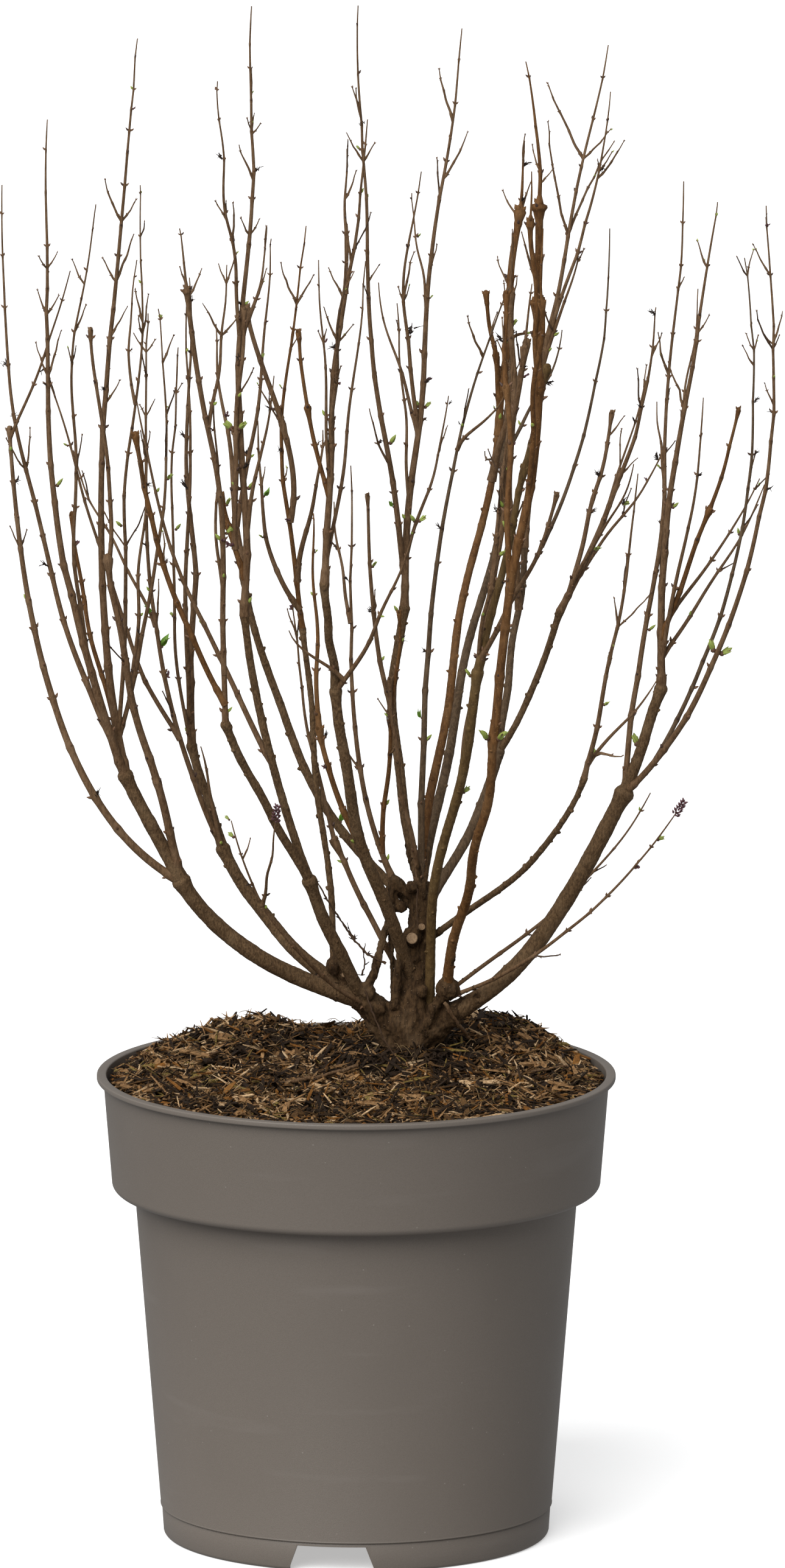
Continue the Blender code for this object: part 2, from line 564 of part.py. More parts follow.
def outside_distance(tree, point):
    """How far a point in millimetres is outside a closed mesh, negative inside."""
    _, _, _, distance = tree.find_nearest(point * MM)
    return -distance / MM if is_inside(tree, point * MM) else distance / MM


def disc_spots(centre, direction, radius):
    """Spots all over a disc across a stem."""
    across = direction.orthogonal().normalized()
    other = direction.cross(across)
    spots = [centre]
    for share, count in DISC_RINGS:
        reach = radius * share
        for k in range(count):
            angle = math.tau * k / count
            turned_out = across * math.cos(angle) + other * math.sin(angle)
            spots.append(centre + turned_out * reach)
    return spots


def seat(points, radius, obstacles):
    """Shorten a stem at its foot until it is GAP clear of its carrier and its siblings."""
    start, direction = points[0], (points[1] - points[0]).normalized()
    moved = 0.0
    while moved < SEAT_LIMIT:
        spots = []
        for ahead in SEAT_LOOK_AHEAD:
            spots += disc_spots(start + direction * (moved + ahead), direction, radius)
        if all(outside_distance(tree, spot) >= GAP for tree in obstacles for spot in spots):
            break
        moved += SEAT_STEP
    return [start + direction * moved] + points[1:]


def carriers(stem, trees, siblings):
    """The meshes that a stem's foot must clear: what carries it and what leaves beside it."""
    carrier = "trunk" if stem.parent.startswith("trunk") else stem.parent
    beside = siblings.setdefault(carrier, [])
    obstacles = [trees[carrier]] + [trees[name] for name in beside]
    beside.append(stem.name)
    return obstacles


def add_knuckle(points, widths):
    """Swell a bough's last stretch, where its shoots leave."""
    before, direction = points[-2], (points[-1] - points[-2]).normalized()
    if (points[-1] - before).length > KNUCKLE_LENGTH * 1.3:
        points.insert(-1, points[-1] - direction * KNUCKLE_LENGTH)
        widths.insert(-1, widths[-1])
    widths[-1] *= KNUCKLE_SWELL
    return points, widths


def samples(points, widths):
    """Spots and radii along a stem, close together."""
    spots = []
    for a, b, wide, narrow in zip(points, points[1:], widths, widths[1:]):
        count = max(1, round((b - a).length / CROWD_SPACING))
        for k in range(count):
            share = k / count
            spots.append((a.lerp(b, share), (wide + (narrow - wide) * share) / 2))
    spots.append((points[-1], widths[-1] / 2))
    return spots


def tree_of(obj):
    mesh = obj.data
    return BVHTree.FromPolygons([v.co for v in mesh.vertices], [p.vertices for p in mesh.polygons])


def make_trunk(parts, helpers, material, outline, limbs):
    """The foot with its flare, the stool it widens into, its cut column and its knobs."""
    base = Vector((TRUNK_X, TRUNK_Y, TRUNK_CUT))
    core = [base + Vector(row[:3]) for row in TRUNK_CORE]
    trunk = tube("trunk", core, [row[3] for row in TRUNK_CORE], outline, parts)
    limbs["trunk"] = core
    for name, height, across, back, up, wide, narrow in TRUNK_ARMS:
        foot = base + Vector((height * TRUNK_LEAN, height * TRUNK_LEAN, height))
        tip = base + Vector((across, back, up))
        if name == "trunk_left_knob":
            foot = limbs["trunk_left"][1]
        if name == "trunk_right_knob":
            foot = limbs["trunk_right"][1]
        middle = foot.lerp(tip, 0.5)
        arm = [foot, middle, tip]
        tube(name, arm, [wide, (wide + narrow) / 2, narrow], outline, helpers)
        limbs[name] = arm
    join_all(trunk, helpers)
    trunk.data.materials.clear()
    trunk.data.materials.append(material)
    trunk.data.shade_smooth()
    trunk.data.set_sharp_from_angle(angle=math.radians(TRUNK_SHARP_ANGLE))
    return trunk


class Crowd:
    """Where every stem runs, so that twigs keep clear of limbs and in their own mass's space."""

    def __init__(self):
        self.spots = []
        self.radii = []
        self.owners = []

    def add(self, points, widths, owner):
        for spot, radius in samples(points, widths):
            self.spots.append(spot[:])
            self.radii.append(radius)
            self.owners.append(owner)

    def freeze(self):
        self.spots = numpy.array(self.spots)
        self.radii = numpy.array(self.radii)
        self.owners = numpy.array(self.owners)

    def enter(self, points, widths, owner):
        """Add a kept twig to the frozen crowd, so that later twigs keep clear of it too."""
        new = samples(points, widths)
        self.spots = numpy.vstack([self.spots, [spot[:] for spot, _ in new]])
        self.radii = numpy.append(self.radii, [radius for _, radius in new])
        self.owners = numpy.append(self.owners, [owner] * len(new))

    def allows(self, points, widths, mass, leader):
        """Whether a twig keeps clear of every other stem and ends in its own mass's space."""
        others = self.owners != leader
        for spot, radius in samples(points, widths)[2:]:
            distances = numpy.linalg.norm(self.spots[others] - numpy.array(spot[:]), axis=1)
            if (distances - self.radii[others] - radius).min() < CLEAR_OF_LIMBS:
                return False
        nearest = distances.argmin()
        own = mass_of(self.owners[others][nearest]) == mass
        return own or distances[nearest] > (points[-1] - points[0]).length * OWN_SPACE


def mass_of(name):
    """The mass that a leader belongs to: its name without the leader's number."""
    head, _, tail = name.rpartition("_")
    return head if tail.isdigit() else name


def foot_point(stem, limbs, leads):
    """Where a stem leaves its parent. A tip's first stem carries on, and the rest leave beside it."""
    point, direction = point_at(limbs[stem.parent], stem.share)
    if stem.share < 1.0:
        return point
    tip = Vector((stem.across, stem.back, stem.up))
    heading = Vector((tip.x - point.x, tip.y - point.y, 0.0)).normalized()
    start = slope_direction(heading, stem.leaves)
    carries_on = math.degrees(start.angle(direction)) < CARRY_ON_ANGLE
    if carries_on and stem.parent not in leads:
        leads[stem.parent] = stem.foot / 2 + GAP
        return point
    sideways = (start - direction * start.dot(direction)).normalized()
    return point + sideways * (leads.get(stem.parent, 0.0) + stem.foot / 2 + GAP)


def make_boughs(parts, material, outline, limbs, leads, trees, siblings, crowd):
    for index, stem in enumerate(BOUGHS):
        points = stem_points(foot_point(stem, limbs, leads), stem, BOUGH_STEP, index)
        points = seat(points, stem.foot / 2, carriers(stem, trees, siblings))
        widths = taper(points, stem.foot, stem.tip)
        points, widths = add_knuckle(points, widths)
        bough = tube(stem.name, points, widths, outline, parts)
        bough.data.materials.append(material)
        bough.data.shade_smooth()
        limbs[stem.name] = points
        trees[stem.name] = tree_of(bough)
        crowd.add(points, widths, stem.name)


def leader_paths(helpers, outline, limbs, leads, trees, siblings, crowd):
    """Each leader's points and widths, by mass. The first leader of a mass is seated on its limb."""
    masses = {}
    for index, stem in enumerate(LEADERS):
        points = stem_points(foot_point(stem, limbs, leads), stem, LEADER_STEP, 100 + index)
        first = mass_of(stem.name) not in masses
        if first:
            points = seat(points, stem.foot / 2, carriers(stem, trees, siblings))
        widths = taper(points, stem.foot, stem.tip)
        if first:
            draft = tube(stem.name, points, widths, outline, helpers)
            trees[stem.name] = tree_of(draft)
            bpy.data.objects.remove(draft, do_unlink=True)
        limbs[stem.name] = points
        masses.setdefault(mass_of(stem.name), []).append((stem.name, points, widths))
        crowd.add(points, widths, stem.name)
    return masses


def twig_paths(name, points, mass, crowd, rng):
    """Twigs in opposite pairs along a leader, each pair a quarter turn on from the last."""
    total = sum((b - a).length for a, b in zip(points, points[1:]))
    span = TWIGS_TO - TWIGS_FROM
    count = int(total * span / TWIG_SPACING)
    widths = [TWIG_WIDTH, (TWIG_WIDTH + TWIG_TIP_WIDTH) / 2, TWIG_TIP_WIDTH]
    twigs = []
    for node in range(count):
        share = TWIGS_FROM + span * (node + rng.uniform(*TWIG_SPOT)) / count
        root, direction = point_at(points, share)
        across = direction.orthogonal().normalized()
        turn = rng.uniform(0.0, math.pi) + node * math.pi / 2
        for half in (0.0, math.pi):
            out = across * math.cos(turn + half) + direction.cross(across) * math.sin(turn + half)
            lean = math.radians(rng.uniform(*TWIG_LEAN))
            tip_lean = lean * TWIG_TIP_LEAN
            length = rng.uniform(*TWIG_LENGTH) * (TWIG_LONGER_LOW - TWIG_SHORTER_HIGH * share)
            elbow = root + (direction * math.cos(lean) + out * math.sin(lean)) * length / 2
            tip = elbow + (direction * math.cos(tip_lean) + out * math.sin(tip_lean)) * length / 2
            twig = [root, elbow, tip]
            if crowd.allows(twig, widths, mass, name):
                twigs.append((twig, widths))
                crowd.enter(twig, widths, name)
    return twigs


def make_mass(name, leaders, parts, helpers, material, outline, crowd, seed):
    """One mass: its stem, the leaders that fork from it and their twigs, fused."""
    rng = random.Random(seed)
    mass = None
    for leader, points, widths in leaders:
        if mass is None:
            mass = tube(name, points, widths, outline, parts)
        else:
            tube(leader, points, widths, outline, helpers)
    for leader, points, widths in leaders:
        for index, (twig, twig_widths) in enumerate(twig_paths(leader, points, name, crowd, rng)):
            tube(f"{leader}_twig_{index}", twig, twig_widths, outline, helpers)
    join_all(mass, helpers)
    mass.data.materials.clear()
    mass.data.materials.append(material)
    mass.data.shade_smooth()


def main():
    clear_scene()
    parts = new_collection("potted_lilac")
    cutters = new_collection("cutters")
    mulch_cutters = new_collection("mulch_cutters")
    helpers = new_collection("helpers")
    plastic = new_material("pot_plastic", (0.178, 0.153, 0.136), 0.55)
    compost = new_material("compost", (0.03, 0.02, 0.013), 0.95)
    chips = new_material("wood_chips", (0.10, 0.058, 0.03), 0.9)
    bark = new_material("bark", (0.09, 0.062, 0.042), 0.8)
    shoot = new_material("shoot_bark", (0.17, 0.11, 0.07), 0.6)

    make_pot(parts, cutters, plastic)
    make_soil(parts, compost)
    make_mulch(parts, mulch_cutters, chips)

    bough_outline = section(BOUGH_SIDES)
    twig_outline = section(TWIG_SIDES)
    limbs = {}
    trunk = make_trunk(parts, helpers, bark, section(TRUNK_SIDES), limbs)
    trees = {"trunk": tree_of(trunk)}
    leads = {}
    siblings = {}
    crowd = Crowd()
    make_boughs(parts, bark, bough_outline, limbs, leads, trees, siblings, crowd)
    masses = leader_paths(helpers, twig_outline, limbs, leads, trees, siblings, crowd)
    crowd.freeze()
    for seed, (name, leaders) in enumerate(masses.items()):
        make_mass(name, leaders, parts, helpers, shoot, twig_outline, crowd, seed)
    bpy.data.collections.remove(helpers)


main()
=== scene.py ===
import json
import math
import random
from collections import namedtuple

import bmesh
import bpy
import numpy as np
from mathutils import Matrix, Vector, noise

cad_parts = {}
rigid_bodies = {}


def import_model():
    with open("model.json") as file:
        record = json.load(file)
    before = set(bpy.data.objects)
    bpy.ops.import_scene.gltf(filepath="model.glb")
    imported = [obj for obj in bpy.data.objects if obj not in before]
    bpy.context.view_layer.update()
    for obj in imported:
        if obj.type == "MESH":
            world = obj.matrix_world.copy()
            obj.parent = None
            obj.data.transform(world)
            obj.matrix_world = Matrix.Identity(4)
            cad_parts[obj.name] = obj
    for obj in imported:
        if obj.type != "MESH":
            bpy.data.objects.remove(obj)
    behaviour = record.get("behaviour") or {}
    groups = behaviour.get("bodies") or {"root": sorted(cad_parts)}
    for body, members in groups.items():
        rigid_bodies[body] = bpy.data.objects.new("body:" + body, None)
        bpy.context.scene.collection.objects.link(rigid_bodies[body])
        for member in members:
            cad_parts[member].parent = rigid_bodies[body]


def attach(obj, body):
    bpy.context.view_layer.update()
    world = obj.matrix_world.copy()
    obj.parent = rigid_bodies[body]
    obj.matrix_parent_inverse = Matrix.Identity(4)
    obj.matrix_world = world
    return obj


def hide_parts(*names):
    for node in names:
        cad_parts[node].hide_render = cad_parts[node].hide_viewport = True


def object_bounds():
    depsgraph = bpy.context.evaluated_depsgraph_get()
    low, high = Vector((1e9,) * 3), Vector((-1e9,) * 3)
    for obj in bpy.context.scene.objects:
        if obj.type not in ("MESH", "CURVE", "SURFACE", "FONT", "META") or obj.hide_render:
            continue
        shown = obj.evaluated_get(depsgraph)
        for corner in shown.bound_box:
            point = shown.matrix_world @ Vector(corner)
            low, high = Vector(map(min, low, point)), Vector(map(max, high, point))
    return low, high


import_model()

# A young lilac in its nursery pot, in early bud. Sizes are millimetres and degrees.
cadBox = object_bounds()
mm = 0.001
up = Vector((0.0, 0.0, 1.0))
seeds = {"leaders": 100, "fineStems": 300, "growth": 11, "chips": 21, "buds": 31, "sprouts": 41,
         "stool": 40, "litter": 51}


# shared helpers
def newPiece(name, mesh, material, nodes=()):
    piece = bpy.data.objects.new(name, mesh)
    bpy.context.scene.collection.objects.link(piece)
    mesh.materials.clear()
    mesh.materials.append(material)
    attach(piece, "root")
    if nodes:
        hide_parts(*nodes)
    return piece


def meshFrom(bm, name):
    mesh = bpy.data.meshes.new(name)
    bm.to_mesh(mesh)
    bm.free()
    return mesh


def shadeSmooth(mesh, sharpAngle=60.0):
    mesh.shade_smooth()
    mesh.set_sharp_from_angle(angle=math.radians(sharpAngle))


def evaluatedMesh(obj):
    return bpy.data.meshes.new_from_object(obj.evaluated_get(bpy.context.evaluated_depsgraph_get()))


def smoothNoise(spots, size, seed):
    # one soft noise value from -1 to 1 for each spot, with lumps of about that size
    shift = Vector((seed * 7.3, seed * 3.1, seed * 5.7))
    return np.array([noise.noise(Vector(spot) / size + shift) for spot in spots])


def joinCopies(name, shapes, places):
    # one mesh from many copies: each place is (shape number, 4 by 4 matrix)
    corners = [np.array([v.co[:] for v in shape.vertices]) for shape in shapes]
    faces = [[tuple(p.vertices) for p in shape.polygons] for shape in shapes]
    allCorners = []
    allFaces = []
    start = 0
    for number, place in places:
        turn = np.array(place)
        allCorners.append(corners[number] @ turn[:3, :3].T + turn[:3, 3])
        allFaces += [tuple(i + start for i in face) for face in faces[number]]
        start += len(corners[number])
    mesh = bpy.data.meshes.new(name)
    mesh.from_pydata(np.concatenate(allCorners), [], allFaces)
    return mesh


def standing(spot, direction):
    # a matrix that puts a shape at a spot with its +Z along a direction
    return Matrix.Translation(spot) @ direction.to_track_quat("Z", "Y").to_matrix().to_4x4()


def facing(spot, direction, turn, size):
    # the same, turned about that direction and scaled on the shape's own axes
    return standing(spot, direction) @ Matrix.Rotation(turn, 4, "Z") @ Matrix.Diagonal((*size, 1.0))


def distancesAlong(spots):
    steps = np.linalg.norm(np.diff(spots, axis=0), axis=1)
    return np.concatenate([[0.0], np.cumsum(steps)])


def between(distance, along, spots):
    # the point at a distance along a line of spots
    return [float(np.interp(distance, along, spots[:, k])) for k in range(3)]


# camera, light and floor
viewPlan = {"place": (0.0, -12.6, 2.82), "aim": (0.0, 0.0, 0.42), "lens": 547.0,
            "shiftAcross": 0.0231, "shiftUp": -0.0096}
lightPlan = {"sky": 0.38, "skyColour": (0.98, 0.99, 1.0), "floorGlow": 0.42,
             "key": 3.1, "keySpread": 50.0, "keyTurn": (48.0, 0.0, -27.0),
             "rim": 0.5, "rimSpread": 40.0, "rimTurn": (58.0, 0.0, -110.0)}


def aimedAt(place, target):
    return (Vector(target) - Vector(place)).to_track_quat("-Z", "Y").to_euler()


def makeCamera():
    lens = bpy.data.cameras.new("camera")
    lens.lens = viewPlan["lens"]
    lens.shift_x = viewPlan["shiftAcross"]
    lens.shift_y = viewPlan["shiftUp"]
    lens.clip_end = 60.0
    camera = bpy.data.objects.new("camera", lens)
    camera.location = viewPlan["place"]
    camera.rotation_euler = aimedAt(viewPlan["place"], viewPlan["aim"])
    bpy.context.scene.collection.objects.link(camera)
    bpy.context.scene.camera = camera


def makeSun(name, strength, spread, turn):
    sun = bpy.data.lights.new(name, "SUN")
    sun.energy = strength
    sun.angle = math.radians(spread)
    lamp = bpy.data.objects.new(name, sun)
    lamp.rotation_euler = [math.radians(a) for a in turn]
    bpy.context.scene.collection.objects.link(lamp)


def makeStudio():
    world = bpy.data.worlds.new("studio")
    world.use_nodes = True
    sky = world.node_tree.nodes["Background"]
    sky.inputs["Color"].default_value = (*lightPlan["skyColour"], 1.0)
    sky.inputs["Strength"].default_value = lightPlan["sky"]
    bpy.context.scene.world = world
    bpy.context.scene.view_settings.view_transform = "Standard"
    makeSun("keyLight", lightPlan["key"], lightPlan["keySpread"], lightPlan["keyTurn"])
    makeSun("rimLight", lightPlan["rim"], lightPlan["rimSpread"], lightPlan["rimTurn"])
    bm = bmesh.new()
    bmesh.ops.create_grid(bm, x_segments=1, y_segments=1, size=40.0)
    floor = bpy.data.objects.new("floor", meshFrom(bm, "floor"))
    paint = bpy.data.materials.new("floorPaint")
    paint.use_nodes = True
    shader = paint.node_tree.nodes["Principled BSDF"]
    shader.inputs["Base Color"].default_value = (0.93, 0.93, 0.93, 1.0)
    shader.inputs["Roughness"].default_value = 0.9
    shader.inputs["Emission Color"].default_value = (1.0, 1.0, 1.0, 1.0)
    shader.inputs["Emission Strength"].default_value = lightPlan["floorGlow"]
    floor.visible_diffuse = False  # a lit sweep: it stays pale without lighting the pot from below
    floor.visible_glossy = False
    floor.data.materials.append(paint)
    bpy.context.scene.collection.objects.link(floor)


makeCamera()
makeStudio()
print("camera and studio ready")


# materials
def feed(tree, source, socket):
    # link one socket into another, or set a plain value on it
    if isinstance(source, bpy.types.NodeSocket):
        tree.links.new(source, socket)
    else:
        socket.default_value = source


def noiseOf(tree, vector, scale, detail, roughness=0.5):
    texture = tree.nodes.new("ShaderNodeTexNoise")
    for name, source in (("Vector", vector), ("Scale", scale), ("Detail", detail),
                         ("Roughness", roughness)):
        feed(tree, source, texture.inputs[name])
    return texture.outputs["Fac"]


def dotsOf(tree, vector, scale):
    # how far each spot lies from the middle of its cell
    texture = tree.nodes.new("ShaderNodeTexVoronoi")
    feed(tree, vector, texture.inputs["Vector"])
    feed(tree, scale, texture.inputs["Scale"])
    return texture.outputs["Distance"]


def rangeOf(tree, source, low, high, least=0.0, most=1.0):
    ramp = tree.nodes.new("ShaderNodeMapRange")
    for name, value in (("Value", source), ("From Min", low), ("From Max", high),
                        ("To Min", least), ("To Max", most)):
        feed(tree, value, ramp.inputs[name])
    return ramp.outputs["Result"]


def timesOf(tree, first, second, added=None):
    # a product, with a third value added where there is one
    product = tree.nodes.new("ShaderNodeMath")
    product.operation = "MULTIPLY" if added is None else "MULTIPLY_ADD"
    feed(tree, first, product.inputs[0])
    feed(tree, second, product.inputs[1])
    if added is not None:
        feed(tree, added, product.inputs[2])
    return product.outputs["Value"]


def mixOf(tree, first, second, share, kind="RGBA"):
    mix = tree.nodes.new("ShaderNodeMix")
    mix.data_type = kind
    feed(tree, first, mix.inputs["A"])
    feed(tree, second, mix.inputs["B"])
    feed(tree, share, mix.inputs["Factor"])
    return mix.outputs["Result"]


mottlePlan = {"grainDetail": 5.0, "grainRoughness": 0.65, "grainBand": (0.62, 0.38),
              "grainShare": 0.8, "patchScale": 0.09, "patchDetail": 3.0, "patchBand": (0.52, 0.66),
              "patchShare": 0.20, "fleckScale": 0.75, "fleckBand": (0.12, 0.2),
              "fleckHeight": 0.35}


def makeMottleGroup():
    # patches, streaks and pale flecks: colour, roughness and height for bark, chips and compost
    m = mottlePlan
    group = bpy.data.node_groups.new("mottle", "ShaderNodeTree")
    for inOut, kind, names in (("INPUT", "NodeSocketColor", "Base Dark Light"),
                               ("INPUT", "NodeSocketFloat", "Grain Streak Flecks Smooth Rough"),
                               ("OUTPUT", "NodeSocketColor", "Colour"),
                               ("OUTPUT", "NodeSocketFloat", "Roughness Height")):
        for name in names.split():
            group.interface.new_socket(name=name, in_out=inOut, socket_type=kind)
    given = group.nodes.new("NodeGroupInput").outputs
    out = group.nodes.new("NodeGroupOutput").inputs
    place = group.nodes.new("ShaderNodeTexCoord").outputs["Object"]
    stretch = group.nodes.new("ShaderNodeCombineXYZ")
    for axis, source in (("X", 1.0), ("Y", 1.0), ("Z", given["Streak"])):
        feed(group, source, stretch.inputs[axis])
    streaked = group.nodes.new("ShaderNodeMapping")
    feed(group, place, streaked.inputs["Vector"])
    feed(group, stretch.outputs["Vector"], streaked.inputs["Scale"])

    grain = noiseOf(group, streaked.outputs["Vector"], given["Grain"], m["grainDetail"],
                    m["grainRoughness"])
    patchScale = timesOf(group, given["Grain"], m["patchScale"])
    patches = noiseOf(group, place, patchScale, m["patchDetail"])
    cells = dotsOf(group, place, timesOf(group, given["Grain"], m["fleckScale"]))
    flecks = rangeOf(group, cells, *m["fleckBand"], least=1.0, most=0.0)

    grainShare = timesOf(group, rangeOf(group, grain, *m["grainBand"]), m["grainShare"])
    patchShare = timesOf(group, rangeOf(group, patches, *m["patchBand"]), m["patchShare"])
    colour = mixOf(group, given["Base"], given["Dark"], grainShare)
    colour = mixOf(group, colour, given["Light"], patchShare)
    colour = mixOf(group, colour, given["Light"], timesOf(group, flecks, given["Flecks"]))
    feed(group, colour, out["Colour"])
    feed(group, mixOf(group, given["Smooth"], given["Rough"], grain, "FLOAT"), out["Roughness"])
    feed(group, timesOf(group, flecks, m["fleckHeight"], grain), out["Height"])
    return group


mottle = makeMottleGroup()


def addBump(tree, shader, height, strength, distance):
    bump = tree.nodes.new("ShaderNodeBump")
    bump.inputs["Strength"].default_value = strength
    bump.inputs["Distance"].default_value = distance
    feed(tree, height, bump.inputs["Height"])
    feed(tree, bump.outputs["Normal"], shader.inputs["Normal"])


def mottledMaterial(name, finish):
    material = bpy.data.materials.new(name)
    material.use_nodes = True
    tree = material.node_tree
    shader = tree.nodes["Principled BSDF"]
    shader.inputs["Specular IOR Level"].default_value = finish.get("gloss", 0.14)
    pattern = tree.nodes.new("ShaderNodeGroup")
    pattern.node_tree = mottle
    for key in ("base", "dark", "light"):
        pattern.inputs[key.title()].default_value = (*finish[key], 1.0)
    for key in ("grain", "streak", "flecks", "smooth", "rough"):
        pattern.inputs[key.title()].default_value = finish[key]
    feed(tree, pattern.outputs["Colour"], shader.inputs["Base Color"])
    feed(tree, pattern.outputs["Roughness"], shader.inputs["Roughness"])
    addBump(tree, shader, pattern.outputs["Height"], finish["bump"], 0.6 * mm)
    return material


barkFinishes = {
    "old": {"base": (0.156, 0.093, 0.045), "dark": (0.045, 0.024, 0.010),
            "light": (0.290, 0.195, 0.108), "grain": 950.0, "streak": 0.45, "flecks": 0.45,
            "smooth": 0.65, "rough": 0.95, "bump": 1.6},
    "brown": {"base": (0.172, 0.100, 0.051), "dark": (0.070, 0.036, 0.016),
              "light": (0.310, 0.205, 0.120), "grain": 950.0, "streak": 0.25, "flecks": 0.5,
              "smooth": 0.5, "rough": 0.85, "bump": 0.9},
    "warm": {"base": (0.158, 0.073, 0.024), "dark": (0.062, 0.026, 0.008),
             "light": (0.290, 0.165, 0.072), "grain": 700.0, "streak": 0.25, "flecks": 0.55,
             "smooth": 0.5, "rough": 0.85, "bump": 0.6},
    "grey": {"base": (0.128, 0.082, 0.046), "dark": (0.048, 0.029, 0.015),
             "light": (0.235, 0.165, 0.102), "grain": 700.0, "streak": 0.3, "flecks": 0.45,
             "smooth": 0.55, "rough": 0.9, "bump": 0.7},
    "ochre": {"base": (0.128, 0.077, 0.028), "dark": (0.060, 0.034, 0.012),
              "light": (0.225, 0.152, 0.072), "grain": 650.0, "streak": 0.3, "flecks": 0.5,
              "smooth": 0.55, "rough": 0.9, "bump": 0.8},
    "warmGrey": {"base": (0.182, 0.108, 0.056), "dark": (0.078, 0.042, 0.020),
                 "light": (0.310, 0.210, 0.125), "grain": 700.0, "streak": 0.3, "flecks": 0.5,
                 "smooth": 0.5, "rough": 0.85, "bump": 0.6},
    "thin": {"base": (0.078, 0.045, 0.025), "dark": (0.034, 0.019, 0.011),
             "light": (0.140, 0.092, 0.058), "grain": 900.0, "streak": 0.3, "flecks": 0.3,
             "smooth": 0.6, "rough": 0.9, "bump": 0.4},
    "stump": {"base": (0.084, 0.047, 0.021), "dark": (0.013, 0.006, 0.002),
              "light": (0.270, 0.175, 0.095), "grain": 520.0, "streak": 0.35, "flecks": 0.35,
              "smooth": 0.7, "rough": 1.0, "bump": 2.0},
}
barks = {tint: mottledMaterial(f"{tint}Bark", finish) for tint, finish in barkFinishes.items()}
print("bark finishes ready")


# pot
potSizes = {"height": 253.0, "rim": 140.0, "lip": 3.0, "bandTop": 136.4, "bandLow": 131.8,
            "bandHeight": 190.0, "bodyTop": 119.6, "seam": 105.8, "seamHeight": 16.4,
            "skirt": 103.7, "skirtLow": 4.0, "foot": 101.4, "wall": 1.6, "floorTop": 17.6,
            "floorUnder": 15.2, "hub": 25.0, "round": 0.8, "shoulder": 4.0, "turnSteps": 160}
notchPlan = {"count": 3, "turn": -7.4, "height": 14.2, "topWidth": 37.0, "lowWidth": 48.0,
             "depth": 14.0, "round": 1.5}
drainPlan = {"count": 6, "radius": 5.0, "ring": 62.0}
plasticFinish = {"base": (0.158, 0.134, 0.113), "speck": (0.134, 0.113, 0.094),
                 "scuff": (0.186, 0.162, 0.142), "dust": (0.30, 0.27, 0.24), "gloss": 0.42,
                 "smooth": 0.40, "rough": 0.56, "grain": 2600.0, "cloudScale": 14.0,
                 "scuffScale": 9.0, "dustScale": 95.0, "flowStretch": 7.0, "flowTilt": 9.0}


def arc(middle, radius, start, end, steps=4):
    # points round a corner, from one angle to another
    turns = [math.radians(start + (end - start) * i / steps) for i in range(steps + 1)]
    return [(middle[0] + radius * math.cos(a), middle[1] + radius * math.sin(a)) for a in turns]


def potOutline():
    p = potSizes
    r, wall, top = p["round"], p["wall"], p["height"]
    lipLow = top - p["lip"]
    inside = [(0.0, p["floorTop"]), (p["seam"] - wall - 3.0, p["floorTop"]),
              (p["seam"] - wall, p["floorTop"] + 3.0),
              (p["bodyTop"] - wall, p["bandHeight"] + wall),
              (p["bandLow"] - wall - 3.0, p["bandHeight"] + wall),
              (p["bandLow"] - wall, p["bandHeight"] + wall + 3.0), (p["bandTop"] - wall, lipLow)]
    rim = arc((p["bandTop"] + r - wall, top - r), r, 180, 90)
    rim += arc((p["rim"] - r, top - r), r, 90, 0) + arc((p["rim"] - r, lipLow + r), r, 0, -90)
    rim += arc((p["bandTop"] + 0.6, lipLow - 0.6), 0.6, 90, 180, 3)
    s = p["shoulder"]
    band = arc((p["bandLow"] - s + 0.1, p["bandHeight"] + s), s, 0, -90, 8)
    band += arc((p["bodyTop"] + 1.0, p["bandHeight"] - 1.0), 1.0, 90, 180, 4)
    skirt = [(p["seam"] + 0.02, p["seamHeight"] + 0.9)]
    skirt += arc((p["seam"] - 0.3, p["seamHeight"] + 0.3), 0.5, 40, -70, 4)
    skirt += [(p["seam"] - 1.1, p["seamHeight"] - 0.6), (p["seam"] - 0.7, p["seamHeight"] - 1.4)]
    skirt += arc((p["foot"] + 0.3, 2.6), 2.6, -12, -70, 5)
    skirt += [(p["foot"], 0.0), (p["foot"] - wall, 0.0), (p["skirt"] - wall, p["skirtLow"]),
              (p["skirt"] - wall, p["floorUnder"]), (p["hub"] + r, p["floorUnder"]),
              (p["hub"], 0.0), (0.0, 0.0)]
    return inside + rim + band + skirt


def turnedMesh(name, outline, steps):
    bm = bmesh.new()
    corners = [bm.verts.new((x * mm, 0.0, z * mm)) for x, z in outline]
    edges = [bm.edges.new(pair) for pair in zip(corners, corners[1:])]
    bmesh.ops.spin(bm, geom=corners + edges, cent=(0, 0, 0), axis=(0, 0, 1), dvec=(0, 0, 0),
                   angle=math.tau, steps=steps, use_merge=True, use_duplicate=False)
    bmesh.ops.remove_doubles(bm, verts=bm.verts, dist=0.00001)
    bmesh.ops.dissolve_degenerate(bm, dist=0.000005, edges=bm.edges)
    bmesh.ops.recalc_face_normals(bm, faces=bm.faces)
    return meshFrom(bm, name)


